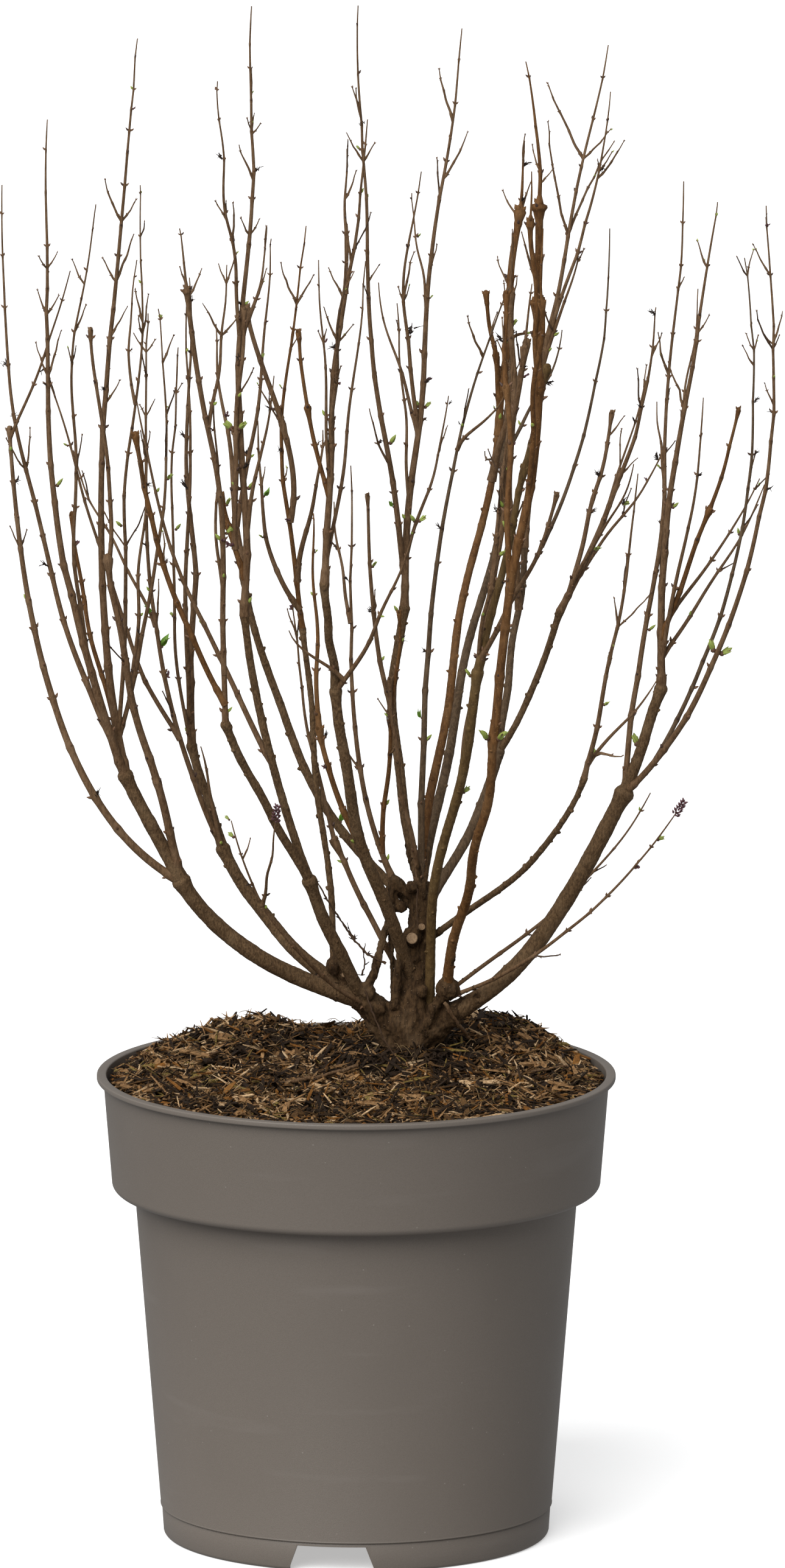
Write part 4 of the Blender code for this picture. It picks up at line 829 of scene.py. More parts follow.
def trunkLimbs():
    limbs = {"trunk": [trunkFoot + Vector(row[:3]) for row in trunkCore]}
    for name, (height, across, back, rise, *_) in trunkArms.items():
        foot = trunkFoot + Vector((height * 0.05, height * 0.05, height))
        if name == "trunk_left_knob":
            foot = limbs["trunk_left"][1]
        if name == "trunk_right_knob":
            foot = limbs["trunk_right"][1]
        tip = trunkFoot + Vector((across, back, rise))
        limbs[name] = [foot, foot.lerp(tip, 0.5), tip]
    return limbs


limbs = trunkLimbs()
for stems, firstSeed in ((boughs, 0), (leaders, seeds["leaders"]), (fineStems, seeds["fineStems"])):
    for number, stem in enumerate(stems, firstSeed):
        limbs[stem.name] = stemPath(pointAt(limbs[stem.parent], stem.share), stem, number)


# from a path to a grown stem. Each kind has the spacing of its nodes, how much it swells and
# shifts aside at each one, the step between its rings, and a ring's sides.
growthPlan = {
    "bough": {"spacing": (17.0, 30.0), "swell": 0.05, "kink": 0.12, "step": 1.2, "sides": 16},
    "leader": {"spacing": (14.0, 34.0), "swell": 0.20, "kink": 0.42, "step": 4.5, "sides": 10},
    "twig": {"spacing": (6.0, 13.0), "swell": 0.24, "kink": 0.22, "step": 2.6, "sides": 6},
}
fuller = 1.11  # the live stems are this much fuller than the solid's
boxMargin = 0.5


def grow(path, wide, narrow, rng, kind, tipWidth=None, thinFrom=None):
    # rings along a path, close together at its nodes; thinFrom is the height of its last knuckle
    plan = growthPlan[kind]
    spots = np.array([p[:] for p in path])
    along = distancesAlong(spots)
    total = along[-1]
    nodes = []
    at = plan["spacing"][0] * rng.uniform(0.4, 0.9)
    while at < total - 0.2 * plan["spacing"][0]:
        nodes.append(at)
        at += rng.uniform(*plan["spacing"]) * (1.15 - 0.35 * at / total)
    stations = set(np.arange(0.0, total, plan["step"]).tolist() + [total, max(0.0, total - 1.0)])
    for node in nodes:
        widthThere = wide + (narrow - wide) * node / total
        for shift in (-1.1, -0.5, 0.0, 0.35, 0.9):
            stations.add(min(total, max(0.0, node + shift * (0.5 + widthThere * 0.8))))
    stations = np.array(sorted(stations))
    stations = stations[np.concatenate([[True], np.diff(stations) > 0.12])]
    marks = [0.0] + nodes + [total]
    shifts = np.array([[0.0, 0.0, 0.0]]
                      + [[rng.gauss(0, plan["kink"]) * 0.7 for _ in range(3)] for _ in nodes]
                      + [[0.0, 0.0, 0.0]])
    points = np.stack([np.interp(stations, along, spots[:, k])
                       + np.interp(stations, marks, shifts[:, k]) for k in range(3)], axis=1)
    widths = wide + (narrow - wide) * (stations / total) ** 1.15
    if thinFrom is not None:
        # stout as far as its last knuckle, and a thin shoot from there
        start = float(np.interp(thinFrom, spots[:, 2], along))
        stout = wide * (1.0 - 0.14 * stations / start)
        left = np.clip((stations - start) / max(1.0, total - start), 0.0, 1.0)
        widths = np.where(stations < start, stout, wide * 0.50 + (narrow - wide * 0.50) * left)
    if tipWidth is not None:
        ending = np.clip((stations - (total - 9.0)) / 9.0, 0.0, 1.0)
        widths = widths * (1 - ending) + tipWidth * ending
    swell = np.ones(len(stations))
    for node in nodes:
        widthThere = wide + (narrow - wide) * node / total
        reach = 0.45 + 0.42 * widthThere
        away = (stations - node) / np.where(stations < node, reach * 1.35, reach * 0.8)
        swell += plan["swell"] * rng.uniform(0.7, 1.25) * np.exp(-away ** 2)
    radii = widths / 2 * swell * fuller
    # nothing leaves the solid plant's box
    near = np.array(cadBox[0]) / mm + radii[:, None] + boxMargin
    far = np.array(cadBox[1]) / mm - radii[:, None] - boxMargin
    points = np.minimum(np.maximum(points, near), far)
    return {"points": points, "radii": radii, "along": stations, "nodes": nodes, "total": total}


def roundedEnd(grown):
    # close a thick end with a low dome instead of a flat cut
    points, radii, along = grown["points"], grown["radii"], grown["along"]
    way = points[-1] - points[-2]
    way = way / np.linalg.norm(way)
    last = radii[-1]
    for shift, share in ((0.35, 0.93), (0.62, 0.74), (0.82, 0.45), (0.9, 0.12)):
        points = np.vstack([points, grown["points"][-1] + way * last * shift])
        radii = np.append(radii, last * share)
        along = np.append(along, grown["along"][-1] + last * shift)
    return {**grown, "points": points, "radii": radii, "along": along}


def flaredFoot(grown, amount=0.35, reach=5.0):
    along = grown["along"]
    return {**grown, "radii": grown["radii"] * (1.0 + amount * np.exp(-(along / reach) ** 2))}


def spotOn(grown, distance):
    # the middle, direction and radius of a grown stem at a distance along it
    along = grown["along"]
    before, middle, after = [Vector(between(distance + shift, along, grown["points"]))
                             for shift in (-1.5, 0.0, 1.5)]
    return middle, (after - before).normalized(), float(np.interp(distance, along, grown["radii"]))


def distanceAt(grown, height):
    return float(np.interp(height, grown["points"][:, 2], grown["along"]))


def outFrom(direction, turn):
    # a sideways direction from a stem, turned about it from the plant's own right
    across = Vector((1.0, 0.0, 0.0))
    across = (across - direction * across.dot(direction)).normalized()
    return across * math.cos(turn) + direction.cross(across) * math.sin(turn)


def insideBox(point, margin=0.6):
    return all(low / mm + margin <= value <= high / mm - margin
               for low, value, high in zip(cadBox[0], point, cadBox[1]))


def twigPath(root, direction, out, length, lean, rng):
    # leaves at a lean and curves back along its leader's line
    points = [root.copy()]
    count = 5
    for index in range(count):
        turned = math.radians(lean) * (1.0 - 0.34 * (index + 0.5) / count)
        step = direction * math.cos(turned) + out * math.sin(turned)
        step += Vector((rng.gauss(0, 0.08), rng.gauss(0, 0.08), rng.gauss(0, 0.06)))
        points.append(points[-1] + step.normalized() * length / count)
    return points


twigPlan = {"from": 0.26, "to": 0.97, "chance": 0.22, "pair": 0.34, "length": (6.0, 30.0),
            "lean": (18.0, 40.0), "width": (0.85, 1.35), "narrow": 0.75, "tip": 0.6,
            "thinChance": 0.38}
boughShapes = []  # each with the bough it belongs to
shoots = {tint: [] for tint in barkFinishes}
fineTwigs = []
buds = []  # each by its foot, the way it points, its width and its length


def addBudPair(grown, distance, turn, rng, size=1.0, chance=0.86):
    middle, direction, radius = spotOn(grown, distance)
    for half in (0.0, math.pi):
        if rng.random() > chance:
            continue
        out = outFrom(direction, turn + half)
        lean = (direction * rng.uniform(0.75, 1.3) + out * rng.uniform(0.7, 1.1)).normalized()
        spot = middle + out * radius * 0.62 + direction * 0.1
        width = size * rng.uniform(0.58, 0.86) * min(1.35, 0.66 + radius * 0.36)
        buds.append((spot, lean, width, width * rng.uniform(1.8, 2.7)))


def addTwig(root, direction, out, length, lean, rng, width, bundle):
    path = twigPath(root, direction, out, length, lean, rng)
    if not all(insideBox(p) for p in path):
        return
    grown = grow(path, width, twigPlan["narrow"], rng, "twig", tipWidth=twigPlan["tip"])
    bundle.append(grown)
    turn = rng.uniform(0.0, math.pi)
    for number, node in enumerate(grown["nodes"]):
        if node > 1.5:
            addBudPair(grown, node, turn + number * math.pi / 2, rng, 0.72, 0.75)
    end, way, _ = spotOn(grown, grown["total"])
    for half in (0.0, math.pi):
        side = outFrom(way, turn + half)
        buds.append((end + side * 0.1, (way * 2.4 + side * rng.uniform(0.3, 0.9)).normalized(),
                     rng.uniform(0.45, 0.7), rng.uniform(1.2, 1.9)))


def addKnuckle(grown, distance, swell, spurs, rng, tint):
    # an old pruning point: the stem widens up to it like a goblet, with short horns round the rim
    middle, direction, radius = spotOn(grown, distance)
    away = grown["along"] - distance
    below = np.exp(-(away / (2.5 + 1.6 * radius)) ** 2)
    above = np.exp(-(away / (0.5 + 0.5 * radius)) ** 2)
    grown["radii"] = grown["radii"] * (1.0 + 1.15 * swell * np.where(away < 0, below, above))
    turn = rng.uniform(0.0, math.tau)
    wide = radius * (1.0 + swell)
    for number in range(spurs):
        out = outFrom(direction, turn + number * math.tau / spurs + rng.gauss(0, 0.3))
        way = (direction * rng.uniform(0.5, 1.1) + out).normalized()
        length = wide * 0.8 + rng.uniform(1.2, 2.6)
        root = middle + direction * rng.uniform(-1.2, 0.2)
        bend = root + way * length * 0.62
        end = bend + (way + direction * 0.9).normalized() * length * 0.38
        base = wide * rng.uniform(0.52, 0.7)
        shoots[tint].append({"points": np.array([root[:], bend[:], end[:]]),
                             "radii": np.array([base, base * 0.66, 0.14])})


def growLeader(stem, rng):
    stout = stouter.get(stem.name, 1.0)
    stubby = stem.tip >= 1.4
    narrow = stem.tip * (stout if stubby else 0.72)
    grown = grow(limbs[stem.name], stem.foot * stout, narrow, rng, "leader",
                 tipWidth=None if stubby else twigPlan["tip"], thinFrom=thinShoots.get(stem.name))
    grown = flaredFoot(grown)
    tint = stemTints.get(stem.name, "brown")
    for name, height, swell, spurs in knuckles:
        if name == stem.name:
            addKnuckle(grown, distanceAt(grown, height), swell, spurs, rng, tint)
    if stubby:
        addKnuckle(grown, grown["total"] - 0.8, 0.75, 3, rng, tint)
        grown = roundedEnd(grown)
    shoots[tint].append(grown)
    turn = rng.uniform(0.0, math.pi)
    for number, node in enumerate(grown["nodes"]):
        share = node / grown["total"]
        middle, direction, radius = spotOn(grown, node)
        facingTurn = turn + number * math.pi / 2 + rng.gauss(0, 0.12)
        twigsHere = 0
        if twigPlan["from"] < share < twigPlan["to"] and rng.random() < twigPlan["chance"]:
            twigsHere = 2 if rng.random() < twigPlan["pair"] else 1
        for half in range(twigsHere):
            length = rng.uniform(*twigPlan["length"]) * (1.2 - 0.5 * share)
            thin = rng.random() < twigPlan["thinChance"]
            width = rng.uniform(*twigPlan["width"]) * (0.8 if thin else 1.0)
            out = outFrom(direction, facingTurn + half * math.pi)
            addTwig(middle, direction, out, length, rng.uniform(*twigPlan["lean"]), rng,
                    min(width, radius * 1.7), shoots["thin"] if thin else fineTwigs)
        if twigsHere < 2:
            addBudPair(grown, node, facingTurn, rng, 1.4)
    return grown


nubPlan = {"rise": (0.2, 0.9), "length": (1.0, 2.2), "radii": (1.5, 1.0, 0.35), "size": (0.7, 1.1)}
grownStems = {}
rng = random.Random(seeds["growth"])
for stem in boughs:
    grown = grow(limbs[stem.name], stem.foot, stem.tip, rng, "bough")
    # the knuckle where its shoots leave
    ending = np.clip((grown["along"] - (grown["total"] - 8.0)) / 8.0, 0.0, 1.0)
    grown["radii"] = grown["radii"] * (1.0 + 0.34 * ending ** 1.6)
    grown = roundedEnd(flaredFoot(grown, 0.2, 8.0))
    grownStems[stem.name] = grown
    boughShapes.append((stem, grown))
    # little nubs of old buds and shed twigs
    for node in grown["nodes"]:
        for share in (0.0, 0.5):
            distance = min(grown["total"] - 2.0, node + share * growthPlan["bough"]["spacing"][0])
            middle, direction, radius = spotOn(grown, distance)
            out = outFrom(direction, rng.uniform(0.0, math.tau))
            root = middle + out * radius * 0.7
            way = (out + direction * rng.uniform(*nubPlan["rise"])).normalized()
            end = root + way * rng.uniform(*nubPlan["length"])
            nub = {"points": np.array([root[:], root.lerp(end, 0.6)[:], end[:]]),
                   "radii": np.array(nubPlan["radii"]) * rng.uniform(*nubPlan["size"])}
            boughShapes.append((stem, nub))
for stem in leaders + fineStems:
    grownStems[stem.name] = growLeader(stem, rng)
for leader, height, across, rise in markedTwigs:
    grown = grownStems[leader]
    middle, direction, radius = spotOn(grown, distanceAt(grown, height))
    # how far the twig reaches back isn't given, so it is drawn
    reach = Vector((across, rng.gauss(0, abs(across) * 0.5), rise))
    side = (reach - direction * reach.dot(direction)).normalized()
    lean = min(math.degrees(direction.angle(reach)) * 1.2, 62.0)
    addTwig(middle, direction, side, reach.length * 1.02, lean, rng,
            min(1.5, 0.9 + reach.length * 0.02), fineTwigs)
twigCount = len(fineTwigs) + len(shoots["thin"])
print("stems grown:", len(grownStems), "twigs:", twigCount, "buds:", len(buds))


# stems to meshes
def sweptMesh(name, strands, sides):
    # round tubes along many paths, as one mesh; each strand is (points, radii) in millimetres
    curve = bpy.data.curves.new(name, "CURVE")
    curve.dimensions = "3D"
    curve.bevel_mode = "ROUND"
    curve.bevel_depth = mm
    curve.bevel_resolution = (sides - 4) // 2
    curve.use_fill_caps = True
    for points, radii in strands:
        spline = curve.splines.new("POLY")
        spline.points.add(len(points) - 1)
        spots = np.concatenate([np.array(points) * mm, np.ones((len(points), 1))], axis=1)
        spline.points.foreach_set("co", spots.ravel())
        spline.points.foreach_set("radius", np.array(radii, dtype=float))
    holder = bpy.data.objects.new(name, curve)
    bpy.context.scene.collection.objects.link(holder)
    mesh = evaluatedMesh(holder)
    bpy.data.objects.remove(holder)
    bm = bmesh.new()
    bm.from_mesh(mesh)
    bpy.data.meshes.remove(mesh)
    bmesh.ops.remove_doubles(bm, verts=bm.verts, dist=0.00001)
    bmesh.ops.recalc_face_normals(bm, faces=bm.faces)
    return meshFrom(bm, name)


def roughen(mesh, layers, seed):
    # push the skin in and out by soft noise; each layer is (depth, lump size, stretch up)
    spots, normals = np.empty((2, len(mesh.vertices), 3))
    mesh.vertices.foreach_get("co", spots.ravel())
    mesh.vertices.foreach_get("normal", normals.ravel())
    push = np.zeros(len(spots))
    for number, (depth, size, stretch) in enumerate(layers):
        scaled = spots / mm * np.array([1.0, 1.0, 1.0 / stretch])
        push += depth * smoothNoise(scaled, size, seed + number)
    mesh.vertices.foreach_set("co", (spots + normals * push[:, None] * mm).ravel())
    mesh.update()


def sweepGrown(name, stems, kind):
    return sweptMesh(name, [(g["points"], g["radii"]) for g in stems], growthPlan[kind]["sides"])


barkLayers = [(0.10, 4.0, 3.0), (0.13, 1.1, 1.6), (0.10, 0.55, 1.3)]
limbGroups = {}
for stem, grown in boughShapes:
    tint = stemTints.get(stem.name, "old")
    limbGroups.setdefault(tint, []).append((stem.name, grown))
for number, (tint, rows) in enumerate(limbGroups.items()):
    pieceName = f"{tint}Limbs"
    mesh = sweepGrown(pieceName, [grown for _, grown in rows], "bough")
    roughen(mesh, barkLayers, number * 5)
    shadeSmooth(mesh)
    newPiece(pieceName, mesh, barks[tint], [name for name, _ in rows])

# each mass goes with the tint of its first leader
massOwners = {}
for stem in leaders:
    head, _, tail = stem.name.rpartition("_")
    mass = head if tail.isdigit() else stem.name
    massOwners.setdefault(mass, stemTints.get(stem.name, "brown"))
for tint, rows in shoots.items():
    if not rows:
        continue
    pieceName = f"{tint}Shoots"
    mesh = sweepGrown(pieceName, rows, "leader")
    shadeSmooth(mesh)
    newPiece(pieceName, mesh, barks[tint],
             [mass for mass, owner in massOwners.items() if owner == tint])
mesh = sweepGrown("twigs", fineTwigs, "twig")
shadeSmooth(mesh)
newPiece("twigs", mesh, barks["brown"])
print("limbs, shoots and twigs swept")


# stool: the foot, its arms and the stems' first lengths, melted together
stoolPlan = {"voxel": 0.8, "stub": 24.0, "sink": 5.0, "hollowDepth": 2.1,
             # drawn in below, where the heap hides it
             "lowerShare": (0.62, 0.62, 0.74, 0.88, 0.92, 0.95, 1.0, 1.0)}
stoolLayers = [(1.0, 7.0, 3.0), (0.95, 2.8, 2.8), (0.50, 1.3, 1.6), (0.26, 0.7, 1.2)]
# struts between the arms, each by its two ends and widths
struts = [((4.0, 13.0, 294.0), (9.5, 11.0, 306.0), 6.0, 5.0),
          ((9.5, 11.0, 306.0), (21.5, 25.0, 346.0), 4.9, 4.0),
          ((20.5, 14.0, 286.0), (24.5, 10.5, 322.0), 5.6, 4.6),
          ((2.0, 16.0, 292.0), (-11.0, 20.0, 308.0), 8.0, 7.0),
          ((36.0, 19.0, 346.0), (39.0, 18.0, 374.0), 3.0, 2.2)]
# round knobs: middle and width
knobs = [((49.5, 8.0, 298.0), 13.5), ((22.5, 24.0, 351.5), 8.5),
         ((-11.5, 19.5, 308.0), 11.0), ((19.0, 27.0, 346.0), 8.0),
         ((24.0, 22.0, 340.0), 7.0), ((30.0, 17.5, 352.0), 6.5), ((6.0, 12.0, 295.0), 8.5),
         ((52.0, 11.0, 284.0), 8.5), ((30.5, 18.0, 324.0), 10.5), ((31.0, 19.0, 313.0), 10.0),
         ((42.0, 9.0, 287.0), 7.5), ((12.0, 12.0, 286.0), 9.0), ((35.0, 9.5, 296.0), 6.5)]
# hollows pressed into the stool: middle and width
hollows = [((16.0, 9.0, 297.0), 3.6), ((46.5, 6.0, 280.0), 4.5), ((31.0, 12.5, 316.5), 3.6),
           ((36.0, 8.0, 272.0), 4.5), ((21.0, 8.0, 268.0), 4.0), ((41.0, 8.0, 302.0), 3.4),
           ((-3.0, 12.0, 291.0), 3.6), ((27.0, 14.0, 333.0), 3.0),
           ((28.0, 8.0, 281.0), 3.2), ((34.0, 15.0, 345.0), 2.6)]
# sawn stubs with pale faces: foot, the way the face looks, radius and length
scars = [((30.5, 16.0, 324.0), (-0.10, -1.0, 0.16), 3.1, 4.6),
         ((34.0, 16.5, 329.5), (0.35, -1.0, 0.35), 1.9, 4.4),
         ((-6.0, 15.0, 303.0), (-0.2, -1.0, 0.6), 1.5, 3.0)]


def stoolStrands():
    strands = []
    core = [trunkFoot + Vector(row[:3]) for row in trunkCore]
    core = [core[0] - up * stoolPlan["sink"]] + core
    widths = [trunkCore[0][3]] + [row[3] for row in trunkCore]
    radii = [width / 2 * share for width, share in zip(widths, stoolPlan["lowerShare"])]
    strands.append(([p[:] for p in core], radii))
    for name, row in trunkArms.items():
        wide, narrow = row[4], row[5]
        strands.append(([p[:] for p in limbs[name]], [wide / 2, (wide + narrow) / 4, narrow / 2]))
    for stem in boughs + leaders + fineStems:
        if not stem.parent.startswith("trunk"):
            continue
        path = limbs[stem.name]
        count = int(stoolPlan["stub"] / bendPlan["step"])
        stub = [p[:] for p in path[:count]]
        radii = [stem.foot / 2 * (1.36 - 0.44 * (i / (count - 1)) ** 0.6) for i in range(len(stub))]
        strands.append((stub, radii))
        # the ridge that runs from it down to the foot
        start = path[0]
        heading = Vector((path[3].x - start.x, path[3].y - start.y, 0.0)).normalized()
        low = trunkFoot + heading * 6.0 + up * 8.0
        middle = start.lerp(low, 0.5) + heading * 1.6
        ridge = min(4.2, stem.foot * 0.55)
        strands.append(([start[:], middle[:], low[:]], [ridge, ridge * 0.85, ridge * 0.6]))
    for low, high, wide, narrow in struts:
        strands.append(([low, high], [wide / 2, narrow / 2]))
    for foot, way, radius, length in scars:
        out = Vector(way).normalized()
        face = Vector(foot) + out * length
        strands.append(([(Vector(foot) - out * 3.0)[:], face[:]], [radius * 1.5, radius * 1.08]))
    return strands


def makeStool():
    rough = sweptMesh("stoolDraft", stoolStrands(), 16)
    bm = bmesh.new()
    bm.from_mesh(rough)
    for middle, width in knobs:
        ball = bmesh.ops.create_uvsphere(bm, u_segments=16, v_segments=12, radius=width / 2 * mm)
        bmesh.ops.translate(bm, vec=Vector(middle) * mm, verts=ball["verts"])
    bm.to_mesh(rough)
    bm.free()
    holder = bpy.data.objects.new("stoolDraft", rough)
    bpy.context.scene.collection.objects.link(holder)
    melt = holder.modifiers.new("melt", "REMESH")
    melt.mode = "VOXEL"
    melt.voxel_size = stoolPlan["voxel"] * mm
    calm = holder.modifiers.new("calm", "SMOOTH")
    calm.iterations = 3
    calm.factor = 0.5
    mesh = evaluatedMesh(holder)
    bpy.data.objects.remove(holder)
    mesh.name = "stool"
    for vertex in mesh.vertices:
        spot = vertex.co / mm
        for middle, width in hollows:
            away = (spot - Vector(middle)).length / width
            if away < 1.6:
                depth = stoolPlan["hollowDepth"] * math.exp(-away ** 2 * 1.6)
                vertex.co -= vertex.normal * depth * mm
    mesh.update()
    roughen(mesh, stoolLayers, seeds["stool"])
    shadeSmooth(mesh, 75.0)
    newPiece("stool", mesh, barks["stump"], ["trunk"])
    return mesh


stoolMesh = makeStool()
print("stool melted:", len(stoolMesh.polygons), "faces")


# mulch bed
mulchPlan = {"edgeHeight": 250.6, "crowning": 4.0, "lump": 1.3, "edge": 134.0, "low": 230.0,
             "levelAt": 134.8,
             # each heap: across, back, spread, height
             "heaps": ((82.0, 86.0, 45.0, 20.0), (-62.0, 88.0, 36.0, 13.0),
                       (-26.0, 122.0, 15.0, -9.0), (-104.0, 46.0, 26.0, 4.5)),
             "sunk": 3.2, "rings": 60, "turnSteps": 150,
             "mound": 7.5, "moundReach": 27.0}
mulchFinish = {"base": (0.024, 0.013, 0.006), "dark": (0.007, 0.004, 0.002),
               "light": (0.060, 0.034, 0.016), "grain": 420.0, "streak": 1.0, "flecks": 0.5,
               "smooth": 0.8, "rough": 1.0, "bump": 1.0, "gloss": 0.15}
compostFinish = {"base": (0.028, 0.018, 0.011), "dark": (0.010, 0.006, 0.004),
                 "light": (0.060, 0.040, 0.024), "grain": 500.0, "streak": 1.0, "flecks": 0.4,
                 "smooth": 0.85, "rough": 1.0, "bump": 1.0, "gloss": 0.1}


def mulchHeight(x, y):
    # the bed's top: level at the rim and crowned inside it, with heaps and one dip
    m = mulchPlan
    edge = min(1.0, math.hypot(x, y) / m["levelAt"])
    inside = 1.0 - edge ** 10
    height = m["edgeHeight"] + m["crowning"] * (1.0 - edge ** 2)
    for across, back, spread, rise in m["heaps"]:
        distance = math.hypot(x - across, y - back)
        height += rise * inside * math.exp(-distance ** 2 / (2 * spread ** 2))
    lumps = math.sin(x * 0.11 + 0.7) * math.cos(y * 0.13) + math.sin((x + y) * 0.19)
    return height + m["lump"] * inside * lumps


def bedHeight(x, y):
    # the bed with a low mound of crumbs drawn up round the trunk
    away = math.hypot(x - trunkFoot.x, y - trunkFoot.y + 4.0)
    return mulchHeight(x, y) + mulchPlan["mound"] * math.exp(-(away / mulchPlan["moundReach"]) ** 2)


def makeMulchBed():
    m = mulchPlan
    outline = [(m["edge"] * k / m["rings"], m["edgeHeight"]) for k in range(m["rings"] + 1)]
    outline += [(m["edge"] - 1.0, m["low"]), (0.0, m["low"])]
    mesh = turnedMesh("mulchBed", outline, m["turnSteps"])
    for vertex in mesh.vertices:
        if vertex.co.z > (m["edgeHeight"] - 1.0) * mm:
            x, y = vertex.co.x / mm, vertex.co.y / mm
            spot = Vector((x, y, 0.0))
            bumps = 1.5 * noise.noise(spot / 5.0) + 1.0 * noise.noise(spot / 2.4)
            rimFade = 1.0 - (min(1.0, math.hypot(x, y) / m["edge"])) ** 16
            vertex.co.z = (bedHeight(x, y) - m["sunk"] + bumps * rimFade) * mm
    mesh.update()
    shadeSmooth(mesh, 80.0)
    underlay = mottledMaterial("mulchUnderlay", mulchFinish)
    newPiece("mulchBed", mesh, underlay, ["mulch"])


makeMulchBed()
compost = bpy.data.objects["soil"]
compost.material_slots[0].material = mottledMaterial("compostCrumb", compostFinish)


# wood chips, shreds and fibres on the bed
chipTones = {
    "dark": {"base": (0.024, 0.012, 0.0045), "dark": (0.006, 0.003, 0.0012),
             "light": (0.070, 0.038, 0.015)},
    "brown": {"base": (0.105, 0.052, 0.016), "dark": (0.026, 0.012, 0.004),
              "light": (0.230, 0.128, 0.046)},
    "tan": {"base": (0.310, 0.170, 0.070), "dark": (0.095, 0.047, 0.017),
            "light": (0.530, 0.340, 0.165)},
    "orange": {"base": (0.220, 0.088, 0.015), "dark": (0.065, 0.024, 0.004),
               "light": (0.410, 0.205, 0.052)},
    "pale": {"base": (0.590, 0.405, 0.225), "dark": (0.260, 0.150, 0.068),
             "light": (0.800, 0.630, 0.410)},
    "olive": {"base": (0.200, 0.135, 0.032), "dark": (0.060, 0.040, 0.009),
              "light": (0.390, 0.290, 0.095)},
}
chipGrain = {"grain": 620.0, "streak": 1.0, "flecks": 0.1, "smooth": 0.6, "rough": 0.95,
             "bump": 1.0, "gloss": 0.2}
# thick is a share of the width, and tilt is twice the usual one
chipKinds = {
    "crumb": {"count": 5200, "length": (1.4, 3.8), "width": (0.8, 2.0), "thick": 0.6,
              "tilt": 60.0},
    "shred": {"count": 9000, "length": (4.5, 13.0), "width": (0.4, 1.1), "thick": 0.7,
              "tilt": 34.0},
    "chip": {"count": 1500, "length": (5.0, 12.0), "width": (1.6, 3.8), "thick": 0.30,
             "tilt": 38.0},
    "splinter": {"count": 850, "length": (10.0, 26.0), "width": (0.6, 1.8), "thick": 0.6,
                 "tilt": 18.0},
}
toneShares = {  # by kind: dark, brown, tan, orange, pale, olive
    "crumb": (0.70, 0.16, 0.06, 0.05, 0.02, 0.01),
    "shred": (0.42, 0.22, 0.18, 0.06, 0.09, 0.03),
    "chip": (0.46, 0.24, 0.17, 0.09, 0.02, 0.02),
    "splinter": (0.26, 0.24, 0.28, 0.06, 0.11, 0.05),
}
# chips that stand out: across, back, turn, length, width, tone
markedChips = [(-72.0, 47.0, 0.2, 15.0, 5.5, "tan"), (62.0, -33.0, 0.05, 18.0, 4.6, "pale"),
               (74.0, -38.0, 0.3, 12.0, 4.0, "pale"), (-108.0, 8.0, 0.5, 17.0, 3.0, "olive"),
               (-100.0, -6.0, 0.9, 14.0, 2.6, "olive"), (-86.0, 22.0, -0.4, 20.0, 3.4, "tan"),
               (96.0, 6.0, 0.7, 19.0, 3.2, "tan"), (30.0, -70.0, -0.3, 16.0, 3.4, "tan"),
               (-30.0, -76.0, 0.4, 18.0, 3.0, "pale"), (-58.0, -52.0, 0.9, 15.0, 3.6, "orange"),
               (8.0, -96.0, 0.1, 15.0, 3.8, "tan"), (70.0, -84.0, 0.6, 17.0, 2.8, "pale"),
               (110.0, -36.0, -0.6, 16.0, 3.0, "tan"), (-16.0, -48.0, -0.8, 20.0, 2.4, "pale")]


def chipShape(bend, tipShare, twist, seed):
    # a torn chip of unit length lying along X, one of a few base shapes
    rng = random.Random(seed)
    bm = bmesh.new()
    bmesh.ops.create_cube(bm, size=1.0)
    along = [e for e in bm.edges if abs(e.verts[0].co.x - e.verts[1].co.x) > 0.5]
    bmesh.ops.subdivide_edges(bm, edges=along, cuts=2, use_grid_fill=True)
    for v in bm.verts:
        share = v.co.x + 0.5
        slim = 1.0 - (1.0 - tipShare) * abs(2 * share - 1.0) ** 2.2
        flat = Vector((0.0, v.co.y * slim, v.co.z * slim))
        turned = Matrix.Rotation(twist * v.co.x, 3, "X") @ flat
        v.co.y = turned.y + rng.uniform(-0.09, 0.09)
        v.co.z = turned.z + bend * (1.0 - (2 * share - 1.0) ** 2) + rng.uniform(-0.09, 0.09)
        v.co.x += rng.uniform(-0.05, 0.05)
    bmesh.ops.recalc_face_normals(bm, faces=bm.faces)
    return meshFrom(bm, "chipShape")


# the base shapes: bend, width of the tips, twist
chipBends = [(0.0, 0.8, 0.0), (0.25, 0.45, 0.5), (-0.2, 0.6, -0.6), (0.45, 0.3, 0.9),
             (0.1, 0.15, 0.3), (0.0, 0.5, -1.0)]
# none at the very trunk, darker ones round it, and flat ones along the rim
chipLay = {"clear": 8.0, "darkRound": 40.0, "darker": 4.0, "rimBand": 12.0, "rimRise": 0.4,
           "rimTilt": 0.4, "roll": 24.0, "sunk": 0.9, "rise": (-1.8, 1.6), "patch": 34.0}


